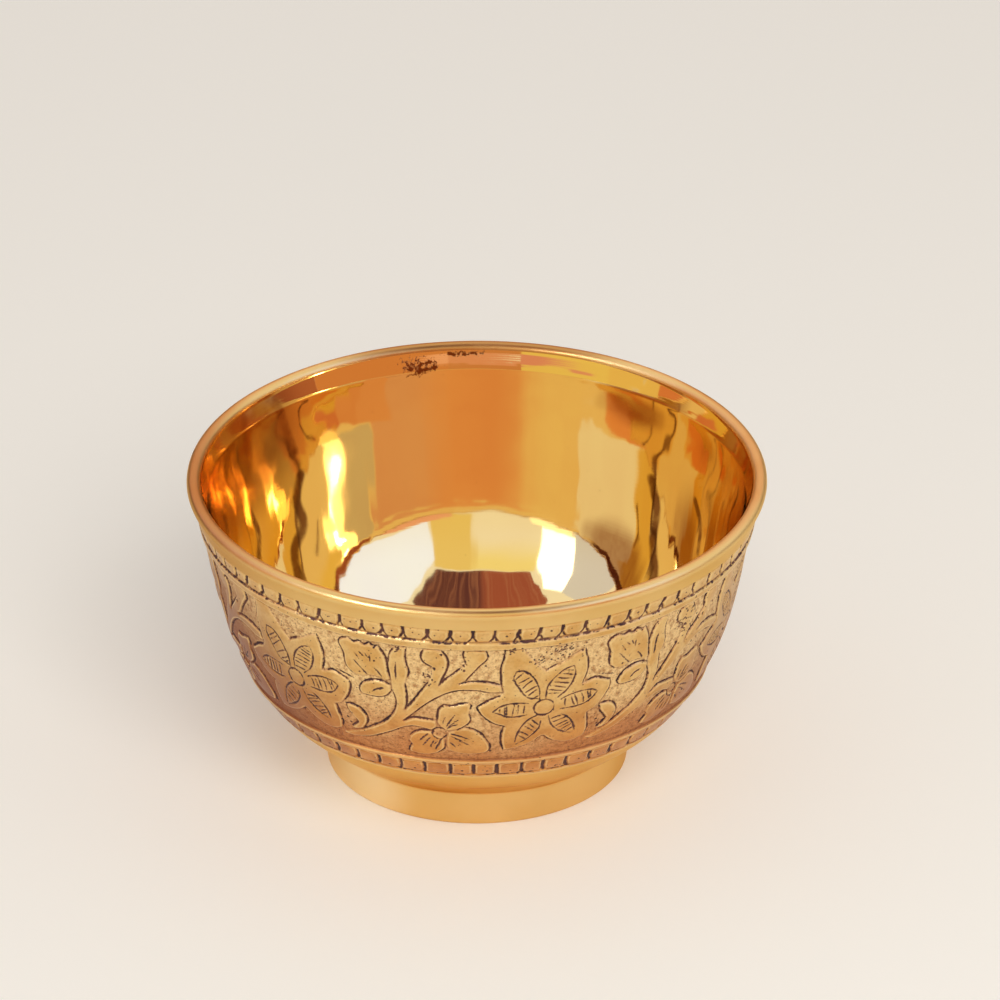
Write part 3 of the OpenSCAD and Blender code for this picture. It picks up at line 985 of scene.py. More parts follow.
seat_in = np.array([FOOT_D / 2 - FOOT_T, SEAT_Z])
collar_top = along(collar_edge, collar_slope + 90, COLLAR_T)
seat_slope = slope(seat_in, collar_top)
V_COLLAR = float(wall_v[0])
V_LIP = float(wall_v[-1])
inner_v = np.linspace(V_COLLAR, v_of(THROAT_Z), 72)
inner_wall, _ = wall_at(inner_v, np.full(len(inner_v), WALL_T))
inner_low = inner_wall[0]
floor_z = UNDER_Z + FLOOR_T
inner_way = slope(inner_wall[0], inner_wall[2])
floor = cubic(
    np.array([0, floor_z]),
    np.array([inner_low[0] * FLOOR_CENTRE_SHARE, floor_z]),
    along(inner_low, inner_way, -inner_low[0] * FLOOR_EDGE_SHARE),
    inner_low,
    48,
)
lip_turns = np.linspace(LIP_SLOPE + 112, LIP_SLOPE - 90, 28)
lip = np.array([along(lip_centre, a, LIP_T / 2) for a in lip_turns])
inner_end_way = slope(inner_wall[-3], inner_wall[-1])
throat = cubic(
    inner_wall[-1],
    along(inner_wall[-1], inner_end_way, THROAT_HANDLE),
    along(lip[0], INNER_LIP_SLOPE, -THROAT_HANDLE),
    lip[0],
    26,
)
inside = np.vstack([floor, inner_wall[1:], throat[1:]])
print("inside:", len(inside), "points")

# %% [markdown]
# Outside, the outline goes from the lip down the flare to the recess for the slabs, and on below it
# to the collar's seat and the underside. The recess is a little shallower than the slabs are thick,
# so that no gap can open behind them.

# %% Draw the outside
RECESS = SLAB_T - 0.05
flare_v = np.linspace(V_LIP, V_TOP + LINE_W / 2, 10)
recess_v = np.linspace(V_TOP, V_FOOT, 14)
low_v = np.linspace(V_FOOT - LINE_W / 2, V_COLLAR, 12)
under = cubic(
    np.array([0, UNDER_Z]),
    np.array([seat_in[0] * UNDER_CENTRE_SHARE, UNDER_Z]),
    along(seat_in, seat_slope, -seat_in[0] * UNDER_EDGE_SHARE),
    seat_in,
    16,
)
outside = np.vstack([
    lip[1:],
    wall_at(flare_v[1:])[0],
    wall_at(np.array([V_TOP]), LINE_DEEP)[0],
    wall_at(recess_v, np.full(len(recess_v), RECESS))[0],
    wall_at(np.array([V_FOOT]), LINE_DEEP)[0],
    wall_at(low_v)[0],
    collar_top[None, :],
    seat_in[None, :],
    under[::-1][1:],
])
turned_outline = np.vstack([inside, outside])
print("turned outline:", len(turned_outline), "points,", len(inside), "of them inside")

# %% [markdown]
# ## Spinning the turned pieces
# A full spin closes a ring, and its first and last copies merge. Points on the axis come out once for
# every step, so the doubles are merged too, which turns the innermost faces into triangles. A screw
# modifier would do the same, but the operator leaves a plain mesh that can be shaped further.


# %% Spin the turned bowl
TURNED_STRIPS = 20
SHARP_DEGREES = 35


def spun_piece(name, outline, steps, closed):
    """A full ring of the outline, smooth but for its sharp corners."""
    bm = bmesh.new()
    row_tag = bm.verts.layers.int.new("row")
    verts, edges = outline_to_mesh(bm, outline, 0.0, closed)
    for n, vert in enumerate(verts):
        vert[row_tag] = n
    spin_in_copies(bm, verts, edges, math.tau, steps, TURNED_STRIPS, True)
    piece = piece_from(bm, name)
    piece.data.polygons.foreach_set("use_smooth", np.ones(len(piece.data.polygons), bool))
    piece.data.set_sharp_from_angle(angle=math.radians(SHARP_DEGREES))
    return piece


turned = spun_piece("turned_bowl", turned_outline, 440, False)
print("turned bowl:", len(turned.data.polygons), "faces")

# %% [markdown]
# Hand polishing leaves the inside uneven: slow ripples of a few hundredths of a millimetre, and
# flutes of a few thousandths up the wall, which draw the reflection of a lamp out into streaks. A
# bump in the material could show them, but the real ones are in the metal, so the points are moved.
# The middle of the floor and the lip stay even. The wall is also 0.34 mm thicker where it curves
# into the floor, which the reflections show too.

# %% Ripple the polished wall
RIPPLE_MM = 0.004
FLUTE_MM = 0.0022
ANY_PHASE = 6.28
THICKER_MM = 0.34
THICKER_AT = 44.5
THICKER_REACH = 7.5
EVEN_MM = 20
LIP_FADE_MM = 6
FLOOR_POINTS = 20
LIP_POINTS = 6

place, tag = read_points(turned.data)
run = np.concatenate([[0], np.cumsum(np.hypot(*np.diff(turned_outline, axis=0).T))])
radius = np.hypot(place[:, 0], place[:, 1])
angle = np.arctan2(place[:, 0], -place[:, 1])
ripple = np.zeros(len(place))
draw = np.random.default_rng(77)
for waves in (9, 14, 22, 31, 43):
    lean = draw.uniform(-0.02, 0.02)
    size = draw.uniform(0.6, 1.0) * 0.1 / waves
    ripple += size * np.sin(waves * angle + draw.uniform(0, ANY_PHASE) + lean * run[tag] * 5)
for waves in (5, 8, 11, 17, 23, 28):
    up = draw.choice((-1, 1)) * math.tau / draw.uniform(9, 22)
    ripple += RIPPLE_MM * np.sin(waves * angle + up * run[tag] + draw.uniform(0, ANY_PHASE))
for waves in (41, 53, 67, 82, 97, 110):
    sway = 0.9 * np.sin(run[tag] / draw.uniform(5, 9) + draw.uniform(0, ANY_PHASE))
    ripple += FLUTE_MM * np.sin(waves * angle + sway + draw.uniform(0, ANY_PHASE))
# The wall counts from the last points of the floor to a few short of the lip
is_wall = (tag > len(floor) - FLOOR_POINTS) & (tag < len(inside) - LIP_POINTS)
ripple *= is_wall * np.clip((run[tag] - EVEN_MM) / EVEN_MM, 0, 1)
ripple *= np.clip((run[len(inside) - 1] - run[tag]) / LIP_FADE_MM, 0, 1)
ripple -= THICKER_MM * np.exp(-((run[tag] - THICKER_AT) / THICKER_REACH) ** 2) * is_wall
place[:, :2] *= (1 + ripple * MM / np.maximum(radius, 1e-4))[:, None]
turned.data.vertices.foreach_set("co", place.ravel())
keep_values(turned.data, "run_mm", run[tag])
print("the wall is moved by up to", round(np.abs(ripple).max(), 3), "mm")

# %% [markdown]
# Four dark run marks low on the wall are painted reflections of a dark thing in front of the bowl, and two
# wide brown smears under the lip are stains in the polish. Each follows a path, and every point keeps how
# much streak or stain lies on it for the finish. That keeps them in their places on the metal, whatever the
# light does.

# %% Lay painted reflection streaks and stains on the polished wall
STREAK_AND_STAIN_RADIUS = 46
MIRROR = 0
SATIN = 1
# Each streak or stain: its path in degrees round from the front and height, half its width, and its weight;
# the first four are painted reflections, the last two are stains
REFLECTION_STREAKS_AND_STAINS = [
    ([(-134.8, 41.5), (-132.4, 37.3), (-132.8, 32.2), (-127.7, 28.7), (-125.3, 24)], 1.15, 0.8),
    ([(-115.1, 40.8), (-116.4, 35.6), (-112.4, 31)], 0.85, 0.65),
    ([(135.6, 40.5), (132.2, 35.3), (131, 29.7), (125.6, 23.5)], 1.05, 0.8),
    ([(119.7, 41.5), (115.4, 38), (113.1, 33)], 0.8, 0.6),
    ([(-129.5, 59.1), (-131.8, 55.5), (-132.6, 51.4), (-133.8, 46.5)], 1.3, 0.6),
    ([(-120.6, 58), (-118.8, 54.2), (-118.7, 49)], 1.1, 0.6),
]
reflection_streak_and_stain = np.zeros(len(place))
far_round = np.degrees(angle)
for path, half, weight in REFLECTION_STREAKS_AND_STAINS:
    fine_path = smooth_path(path, 0.5)
    gap = np.full(len(place), FAR)
    for a, b in zip(fine_path, fine_path[1:]):
        flat = np.radians(far_round - a[0]) * radius / MM, place[:, 2] / MM - a[1]
        leg = np.radians(b[0] - a[0]) * STREAK_AND_STAIN_RADIUS, b[1] - a[1]
        t = np.clip((flat[0] * leg[0] + flat[1] * leg[1]) / (leg[0] ** 2 + leg[1] ** 2), 0, 1)
        gap = np.minimum(gap, np.hypot(flat[0] - t * leg[0], flat[1] - t * leg[1]))
    reflection_streak_and_stain = np.maximum(reflection_streak_and_stain, weight * np.clip(1.5 - gap / half, 0, 1) * (tag < len(inside)))
keep_values(turned.data, "reflection_streak_and_stain", reflection_streak_and_stain)
face_finish = np.empty(len(turned.data.polygons), np.int32)
for n, face in enumerate(turned.data.polygons):
    face_finish[n] = MIRROR if max(tag[v] for v in face.vertices) < len(inside) else SATIN
turned.data.polygons.foreach_set("material_index", face_finish)
turned.data.attributes.remove(turned.data.attributes["row"])
turned.data.update()
print("stains:", len(REFLECTION_STREAKS_AND_STAINS), " mirror faces:", int((face_finish == MIRROR).sum()))

# %% [markdown]
# ## The foot ring and its brazed seam
# The foot ring is turned from a second casting: an upright wall, a small cove, and a collar that
# spreads under the bowl. The brazing metal fills the step at the collar's edge and is filed flush,
# which leaves a coppery line. A cylinder with a bevel has no cove or collar, so both are drawn as
# closed outlines, and a full spin makes each a closed ring.


# %% Spin the foot ring and the seam
def arc(centre, r, start, end, steps):
    """Points of an arc, both ends included, between two directions in degrees from level."""
    return np.array([along(centre, a, r) for a in np.linspace(start, end, steps + 1)])


SEAM_BOW = 0.03
foot_out = FOOT_D / 2
foot_in = foot_out - FOOT_T
half_corner = (90 + collar_slope) / 2
cove_centre = along(foot_top, half_corner - 90, COVE_R / math.sin(math.radians(half_corner)))
seam_low = along(collar_edge, collar_slope, -SEAM_W)
seam_top = along(collar_top, seat_slope, -SEAM_W)
cove = arc(cove_centre, COVE_R, 180, 90 + collar_slope, 10)
foot_outline = np.vstack([
    np.linspace((foot_in, SEAT_Z), (foot_in, FOOT_EDGE_R), 8)[:-1],
    arc((foot_in + FOOT_EDGE_R, FOOT_EDGE_R), FOOT_EDGE_R, 180, 270, 8),
    arc((foot_out - FOOT_EDGE_R, FOOT_EDGE_R), FOOT_EDGE_R, 270, 360, 8),
    np.linspace((foot_out, FOOT_EDGE_R), cove[0], 10)[1:-1],
    cove,
    np.linspace(cove[-1], seam_low, 10)[1:],
    seam_top[None, :],
])
foot = spun_piece("foot_ring_turned", foot_outline, 360, True)
foot.data.attributes.remove(foot.data.attributes["row"])
seam_bow = along((seam_low + collar_edge) / 2, collar_slope - 90, SEAM_BOW)
seam = spun_piece("seam_of_braze", [seam_low, seam_bow, collar_edge, collar_top, seam_top], 360, True)
seam.data.attributes.remove(seam.data.attributes["row"])
print("foot ring:", len(foot.data.polygons), "faces; seam:", len(seam.data.polygons), "faces")

# %% [markdown]
# ## One helper for all the nodes
# A finish could be painted on as an image, but nodes that read the piece's own coordinates stay sharp
# at any distance. One small function adds each node with its settings and links. The table before it
# says, for every kind that is used here, Blender's name for it after ShaderNode, its usual settings,
# its inputs in the order in which they are given, and its usual output. Mix, for one, has sockets of
# the same name for numbers, vectors and colours, so those of the last kind are given by number.

# %% Make the node helper
KINDS = {
    "place": ("TexCoord", {}, (), "Object"),
    "axis": ("SeparateXYZ", {}, (0,), "Z"),
    "moved": ("Mapping", {}, ("Vector", "Location", "Scale"), 0),
    "kept": ("Attribute", {}, (), "Fac"),
    "ray": ("LightPath", {}, (), "Is Camera Ray"),
    "noise": ("TexNoise", {}, ("Vector", "Scale", "Detail", "Roughness"), 0),
    "noise along": ("TexNoise", {"noise_dimensions": "1D"}, ("W", "Scale", "Detail"), 0),
    "cells": ("TexVoronoi", {}, ("Vector", "Scale"), 0),
    "ball": ("TexGradient", {"gradient_type": "SPHERICAL"}, (0,), 1),
    "ramp": ("MapRange", {"interpolation_type": "SMOOTHSTEP"}, (0, 1, 2, 3, 4), 0),
    "mix": ("Mix", {"data_type": "RGBA"}, (0, 6, 7), 2),
    "sum": ("Math", {"operation": "ADD"}, (0, 1), 0),
    "product": ("Math", {"operation": "MULTIPLY"}, (0, 1), 0),
    "larger": ("Math", {"operation": "MAXIMUM"}, (0, 1), 0),
    "bump": ("Bump", {}, ("Strength", "Distance", "Height"), 0),
    "shader": ("BsdfPrincipled", {},
               ("Base Color", "Metallic", "Roughness", "Normal", "Specular Tint"), 0),
    "glow": ("Emission", {}, ("Color", "Strength"), 0),
    "both": ("AddShader", {}, (0, 1), 0),
    "sky": ("Background", {}, ("Color", "Strength"), 0),
    "surface": ("OutputMaterial", {}, ("Surface",), None),
    "room": ("OutputWorld", {}, ("Surface",), None),
}


def add(tree, kind, *inputs, out=None, **settings):
    """Adds a node and gives back its output. Each input is a value, or the output of another node
    that is linked to it, or None where Blender's own value stays."""
    name, usual, sockets, output = KINDS[kind]
    made = tree.nodes.new("ShaderNode" + name)
    for setting, value in {**usual, **settings}.items():
        setattr(made, setting, value)
    for socket, value in zip(sockets, inputs):
        if isinstance(value, bpy.types.NodeSocket):
            tree.links.new(value, made.inputs[socket])
        elif value is not None:
            made.inputs[socket].default_value = value
    return made.outputs[out or output] if made.outputs else None


print("kinds of node:", len(KINDS))

# %% [markdown]
# ## Colours, grains, spots and layers
# Colours are written as the screen shows them, and one function turns them to linear light. Brass
# that is handled and rubbed has no even colour. Its patches come from noise, whose scale is worked
# out from a grain in millimetres. A mark in one place is a soft ball or egg set there on the piece's
# own coordinates. Colours are then laid over one another, as patina builds up.


# %% Make the helpers for patina
def colour(code):
    """The linear colour of a screen colour that is written in hex."""
    channels = [int(code[k:k + 2], 16) / 255 for k in (1, 3, 5)]
    return (*[c / 12.92 if c <= 0.04045 else ((c + 0.055) / 1.055) ** 2.4 for c in channels], 1)


def new_finish(name):
    """A new material and its empty tree of nodes."""
    finish = bpy.data.materials.new(name)
    finish.use_nodes = True
    finish.node_tree.nodes.clear()
    return finish, finish.node_tree


def grains(size_mm):
    """The scale of a noise whose grains are about that many millimetres across."""
    return 1 / (size_mm * MM * 2)


def spot(tree, where, centre, size):
    """1 at a place on a piece and 0 at the edge of a ball or egg round it, both in millimetres."""
    scale = [1 / (length * MM) for length in size]
    shift = [-c / length for c, length in zip(centre, size)]
    return add(tree, "ball", add(tree, "moved", where, shift, scale))


def layered(tree, under, layers):
    """Lays colours over a colour. Each layer is a value, where it starts to show, where it is full,
    how much it then covers, and its colour."""
    for value, start, full, cover, code in layers:
        share = add(tree, "ramp", value, start, full, 0.0, cover)
        under = add(tree, "mix", share, under, colour(code))
    return under


print("a 1 mm grain has the scale", round(grains(1)))

# %% [markdown]
# ## Chased brass
# The band is leaded brass as cast, chased, rubbed dark and wiped: dark oxide stays in the chisel lines and
# the punch marks, the ground is matt and a little greyer, and the tops of the petals are rubbed to a satin
# gold. As painted shade, both flanks of the band are made browner than its front, and its foot is made
# darker and redder than its top, a painted reflection of the shaded floor. First comes the metal: each tone
# has a colour for the foot of the band and one for its top.

# %% Mix the metal of the chased band
# Rubbed gold with inky lines and a sandy ground
chased, tree = new_finish("chased_brass_oxidised")
where = add(tree, "place")
cloud = add(tree, "noise", where, grains(7), 3)
patch = add(tree, "noise", where, grains(2.2), 3, 0.6)
fine = add(tree, "noise", where, grains(0.5), 3, 0.6)
sand = add(tree, "noise", where, grains(0.3), 2, 0.7)
in_ground = add(tree, "kept", attribute_name="ground")
drift = add(tree, "ramp", cloud, 0.3, 0.7, -0.004, 0.004)
# Painted shade: the band is made darker and redder towards its foot, a painted reflection of the shaded
# floor under it
painted_low_shade = add(tree, "ramp", add(tree, "sum", add(tree, "axis", where), drift), 0.022, 0.042)
TONES = [("#c68242", "#dcab62"), ("#dc9c52", "#ecc784"), ("#a86a3e", "#c0925e"), ("#d2935a", "#f6d79c")]
top_dark, top_pale, sand_dark, sand_pale = [
    add(tree, "mix", painted_low_shade, colour(low), colour(high)) for low, high in TONES
]
brushed = add(tree, "mix", add(tree, "ramp", patch, 0.3, 0.7), top_dark, top_pale)
matted = add(tree, "mix", add(tree, "ramp", fine, 0.25, 0.6), sand_dark, sand_pale)
metal = add(tree, "mix", add(tree, "ramp", in_ground, 0.1, 0.8), brushed, matted)
# Painted shade: both flanks of the band are darkened towards brown, the left more than the right
left = add(tree, "ramp", spot(tree, where, (-56, -8, 22), (50, 62, 46)), 0.05, 0.6, 0.0, 0.88)
right = add(tree, "ramp", spot(tree, where, (56, -8, 18), (44, 56, 42)), 0.05, 0.6, 0.0, 0.5)
metal = add(tree, "mix", add(tree, "sum", left, right), metal, colour("#8c4c2a"))
print("tones of the metal:", len(TONES))

# %% [markdown]
# Over the metal lie the oxide, the pale edges and the dark hollows, which follow how far each point stands
# above or below its surroundings. What stands proud is made pale, partly rubbed wear and partly a painted
# highlight, and what lies low is made dark, partly oxide and partly painted shade. The chisel lines come
# from the distance that the grid keeps, so that they stay crisp. Their edges waver with the sand, and they
# are duller and less metallic than the brass.

# %% Lay the oxide and the chisel lines over it
edge = add(tree, "kept", attribute_name="edged")
punch_marks = add(tree, "kept", attribute_name="punched")
specks = add(tree, "cells", where, 1 / (1.3 * MM))
metal = layered(tree, metal, [
    (sand, 0.45, 0.8, 0.3, "#a8683f"),
    # Partly rubbed wear and oxide, partly a painted highlight on proud edges and painted shade in the low
    # places
    (edge, 0.25, 1.0, 0.6, "#f5d595"),
    (edge, -0.2, -1.0, 0.55, "#8e5a3e"),
    (punch_marks, 0.45, 0.95, 0.55, "#6b4438"),
    (specks, 0.14, 0.07, 0.85, "#5a3230"),
])
wobble = add(tree, "ramp", sand, 0.25, 0.75, -0.11, 0.11)
line_gap = add(tree, "sum", add(tree, "kept", attribute_name="to_line"), wobble)
in_line = add(tree, "ramp", line_gap, 0.07, -0.07)
ink = add(tree, "mix", add(tree, "ramp", patch, 0.35, 0.65), colour("#3d2328"), colour("#6a4236"))
lined = add(tree, "mix", in_line, metal, ink)
matt = add(tree, "ramp", in_ground, 0.1, 0.8, 0.38, 0.55)
dull = add(tree, "sum", matt, add(tree, "ramp", in_line, 0, 1, 0, 0.2))
metallic = add(tree, "ramp", in_line, 0, 1, 0.85, 0.4)
bump = add(tree, "bump", 0.5, 0.06 * MM, sand)
add(tree, "surface", add(tree, "shader", lined, metallic, dull, bump))
print(chased.name, "has", len(tree.nodes), "nodes")

# %% [markdown]
# ## Mirror-polished brass
# The inside is buffed to a mirror after turning, so it shows the room and itself, and each bounce deepens
# the gold to orange. Four dark run marks on it are painted reflections of a dark thing in front of the bowl,
# and two smears stain it. A brown tarnish lies high on the left, a cluster of pits sits under the back of
# the lip, and a faint scrape crosses the wall on the right of it. Each is laid over the clear gold in its
# own place.

# %% Mix the tint of the mirror
# A clear gold mirror with dark run marks of painted reflection and brown stains
mirror, tree = new_finish("brass_mirror_polished")
where = add(tree, "place")
cloud = add(tree, "noise", where, grains(9))
patch = add(tree, "noise", where, grains(1.6), 3, 0.6)
pit_grain = add(tree, "noise", where, grains(0.45), 3, 0.7)
buffed = add(tree, "ramp", add(tree, "axis", where), 0.020, 0.028)
tint = add(tree, "mix", buffed, colour("#f1d49b"), colour("#efce8d"))
# Painted reflection and stains: the four low run marks stand for reflections of a dark thing in front of the
# bowl, and the two smears under the lip are stains
runs = add(tree, "kept", attribute_name="reflection_streak_and_stain")
runs = add(tree, "product", runs, add(tree, "ramp", patch, 0.3, 0.7, 0.8, 1.15))
tint = layered(tree, tint, [(cloud, 0.35, 0.65, 0.3, "#f6dc98"), (runs, 0.1, 0.75, 0.88, "#6a3419")])
tarnish = add(tree, "ramp", spot(tree, where, (-46, 16, 54), (21, 38, 20)), 0.05, 0.5, 0.0, 0.9)
tarnish = add(tree, "product", tarnish, add(tree, "ramp", patch, 0.3, 0.7, 0.94, 1.04))
pit_field = add(tree, "larger", spot(tree, where, (-12, 51, 56.6), (8, 5, 3.4)),
                spot(tree, where, (-3, 52, 58.7), (8, 3, 0.9)))
pit_size = add(tree, "ramp", pit_field, 0.0, 0.8, 0.0, 0.32)
pits = add(tree, "ramp", add(tree, "sum", pit_size, pit_grain), 0.7, 0.84)
scrape = add(tree, "larger", spot(tree, where, (30.8, 42.6, 56.4), (3.2, 3.2, 1.1)),
             spot(tree, where, (32.6, 41.0, 58.2), (1.2, 1.2, 1.6)))
scrape = add(tree, "ramp", add(tree, "product", scrape, patch), 0.14, 0.4, 0.0, 0.6)
for share, code in ((tarnish, "#a87648"), (pits, "#7c4018"), (scrape, "#f6e6c4")):
    tint = add(tree, "mix", share, tint, colour(code))
print("marks on the mirror: run marks, tarnish, pits and a scrape")

# %% [markdown]
# The painted run marks, the stains, pits and the scrape also dull the polish, and the scrape is a little
# less metallic, which keeps it pale in dark reflections. Faint turning marks 0.4 mm apart stay under the
# polish. They run along the turned outline, so their noise follows its length and not the height.

# %% Dull the marks and finish the mirror
TURNING_MM = 0.4
dulled = add(tree, "ramp", runs, 0.1, 0.75, 0.0, 0.2)
for marks in (pits, scrape, add(tree, "ramp", tarnish, 0.2, 0.9, 0.0, 0.25)):
    dulled = add(tree, "larger", dulled, marks)
polish = add(tree, "ramp", cloud, 0.3, 0.7, 0.03, 0.07)
gloss = add(tree, "sum", polish, add(tree, "ramp", dulled, 0, 1, 0, 0.3))
metallic = add(tree, "ramp", scrape, 0.0, 0.6, 1.0, 0.75)
run_mm = add(tree, "kept", attribute_name="run_mm")
turning = add(tree, "noise along", run_mm, 1 / TURNING_MM, 2.0)
bump = add(tree, "bump", 0.12, 0.01 * MM, turning)
add(tree, "surface", add(tree, "shader", tint, metallic, gloss, bump))
print(mirror.name, "has", len(tree.nodes), "nodes")

# %% [markdown]
# ## Satin brass and the brazing metal
# The lip, flare and foot are rubbed with fine cloth: the same metal with a softer gloss, a browner back of
# the rim and a dark nick on the left of the rim. The left side of the rim and flare is made browner as
# painted shade, and the left of the foot is made pale as painted light. Lathe rings 0.3 mm apart show as
# noise that is squeezed in height. The brazing metal has more copper in it, so it is redder, and it is left
# a little rough from the file.

# %% Mix the satin brass
# A soft gold sheen with fine rings from the lathe
RING_MM = 0.3125
ACROSS_MM = 25
satin, tree = new_finish("brass_satin_turned")
where = add(tree, "place")
cloud = add(tree, "noise", where, grains(8), 3)
high_up = add(tree, "ramp", add(tree, "axis", where), 0.02, 0.04)
dark_tint = add(tree, "mix", high_up, colour("#e2b870"), colour("#e6bf78"))
pale_tint = add(tree, "mix", high_up, colour("#eac37e"), colour("#eecb88"))
tint = add(tree, "mix", add(tree, "ramp", cloud, 0.3, 0.7), dark_tint, pale_tint)
tint = layered(tree, tint, [
    # Painted shade: the left side of the rim and flare made browner
    (spot(tree, where, (-56, -8, 52), (46, 50, 30)), 0.0, 0.6, 0.6, "#b98250"),
    (spot(tree, where, (0, 55, 60), (56, 16, 9)), 0.1, 0.6, 0.7, "#b87a3c"),
    (spot(tree, where, (-54.3, 9, 59.2), (1.5, 2.2, 1.6)), 0.1, 0.5, 0.85, "#54342a"),
    # Painted light: the left of the foot made pale
    (spot(tree, where, (-26, -16, 3), (20, 18, 12)), 0.0, 0.6, 0.75, "#fbe6b8"),
])
squeezed = add(tree, "moved", where, None, (grains(ACROSS_MM), grains(ACROSS_MM), grains(RING_MM)))
bump = add(tree, "bump", 0.2, 0.02 * MM, add(tree, "noise", squeezed, 1.0, 3.0))
gloss = add(tree, "ramp", cloud, 0.3, 0.7, 0.3, 0.42)
add(tree, "surface", add(tree, "shader", tint, 1.0, gloss, bump, colour("#f2dcb8")))
print(satin.name, "has", len(tree.nodes), "nodes")

# %% Mix the brazing metal
# A coppery line, filed a little rough
braze, tree = new_finish("brazing_metal_filed")
cloud = add(tree, "noise", add(tree, "place"), grains(2), 3)
tint = add(tree, "mix", add(tree, "ramp", cloud, 0.35, 0.65), colour("#d48d4d"), colour("#f0b06c"))
add(tree, "surface", add(tree, "shader", tint, 1.0, 0.38))
print("finishes:", chased.name, mirror.name, satin.name, braze.name)

# %% [markdown]
# ## Finishes and bodies
# The chased slabs and the turned bowl together dress the one CAD node of the bowl, and the foot ring
# and the seam dress theirs. Nothing on the bowl moves, so all of them ride on the root.

# %% Give the pieces their finishes and bodies
for slab in slabs:
    slab.data.materials.append(chased)
    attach(slab, "root")
    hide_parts("bowl_body")
turned.data.materials.append(mirror)
turned.data.materials.append(satin)
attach(turned, "root")
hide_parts("bowl_body")
foot.data.materials.append(satin)
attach(foot, "root")
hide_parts("foot_ring")
seam.data.materials.append(braze)
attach(seam, "root")
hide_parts("braze_seam")

# %% [markdown]
# ## Floor and world
# The bowl stands on a plain pale floor in a pale room, so that its own colours carry the picture. Both
# are a little brighter to the eye, to shiny metal and to glass than they are as lamps, which keeps
# the background pale without more light on the bowl.


# %% Lay the floor and light the room
def looked_at(tree):
    """1 for what the camera, shiny metal or glass sees, and 0 for what only gives light."""
    seen = add(tree, "ray", out="Is Camera Ray")
    for kind_of_ray in ("Is Glossy Ray", "Is Transmission Ray"):
        seen = add(tree, "larger", seen, add(tree, "ray", out=kind_of_ray))
    return seen


FLOOR_HALF_SIDE = 6
bm = bmesh.new()
bmesh.ops.create_grid(bm, x_segments=1, y_segments=1, size=FLOOR_HALF_SIDE)
floor_piece = piece_from(bm, "floor")
# A smooth board of warm white with hardly any gloss
floor_finish, tree = new_finish("floor_pale_board")
board = add(tree, "shader", colour("#f5efe4"), None, 0.7)
sheen = add(tree, "glow", colour("#fbf6ec"), add(tree, "ramp", looked_at(tree), 0, 1, 0.0, 0.17))
add(tree, "surface", add(tree, "both", board, sheen))
floor_piece.data.materials.append(floor_finish)

world = bpy.data.worlds.new("room")
bpy.context.scene.world = world
world.use_nodes = True
tree = world.node_tree
tree.nodes.clear()
strength = add(tree, "ramp", looked_at(tree), 0, 1, 0.45, 1.0)
add(tree, "room", add(tree, "sky", colour("#ffffff"), strength))
print("floor:", 2 * FLOOR_HALF_SIDE, "m wide")

# %% [markdown]
# ## What the mirror shows
# The polished inside shows its surroundings, so they are set up again where the photograph's
# reflections put them. A picture of a room could be wrapped round the scene instead, but flat screens
# are easy to place, and one at the right distance moves as a real one would. They are seen only in
# shiny metal, light nothing matt and cast no shadow. On the right is a window. On the left are a soft
# box with its bright tube and its skirt, and a grey board.


# %% Hang the plain screens
def hang(bm, name):
    """Makes a screen of the bmesh that only shiny metal sees, and gives back its nodes."""
    made = piece_from(bm, name)
    finish, tree = new_finish(name + "_cloth")
    made.data.materials.append(finish)
    made.visible_camera = False
    made.visible_diffuse = False
    made.visible_shadow = False
    return tree


def flat_screen(corners, far):
    """One flat face. Its corners lie in these directions, seen from the bowl: degrees to the right of
    the camera's side, and degrees up."""
    bm = bmesh.new()
    for right, up in corners:
        a = math.radians(right)
        b = math.radians(up)
        bm.verts.new((far * math.sin(a) * math.cos(b), -far * math.cos(a) * math.cos(b), far * math.sin(b)))
    bmesh.ops.contextual_create(bm, geom=bm.verts)
    return bm


# Window light is cool, lamplight through cloth is nearly white, and each is one even tone to the eye
# Each screen: its corners, how far off it is in metres, its colour and how brightly it glows
SCREENS = [
    ("window_right", [(26, 24), (27, 41), (64, 60), (88, 52), (86, 20)], 1.2, "#b9caff", 2.15),
    ("soft_box_left", [(-34, 24), (-37, 40), (-50, 53), (-62, 50), (-60, 37), (-51, 25)],
     1.2, "#f6f4ff", 3.4),
    ("soft_box_skirt", [(-24, 18.6), (-28, 24), (-50, 25.5), (-48, 19.2)], 1.21, "#fff4dc", 1.7),
    ("soft_box_tube", [(-38, 31), (-42, 40), (-52, 42), (-46, 31)], 1.15, "#ccdcff", 32.0),
    ("grey_board_left", [(-62, 50), (-50, 22), (-84, 22), (-84, 48)], 1.25, "#cfd6f4", 1.2),
]
for name, corners, far, code, strength in SCREENS:
    tree = hang(flat_screen(corners, far), name)
    add(tree, "surface", add(tree, "glow", colour(code), strength))
print("plain screens:", len(SCREENS))

# %% [markdown]
# Low in front of the bowl stand shelves of orange brown to gold, which fill the middle of the mirror.
# The wall shows their lower part after one bounce, and their upper part after two, under the lip. So
# each has two colours, which meet at one height.

# %% Hang the shelves
SHELF_FAR = 1.22
SOFT_EDGE = 0.004
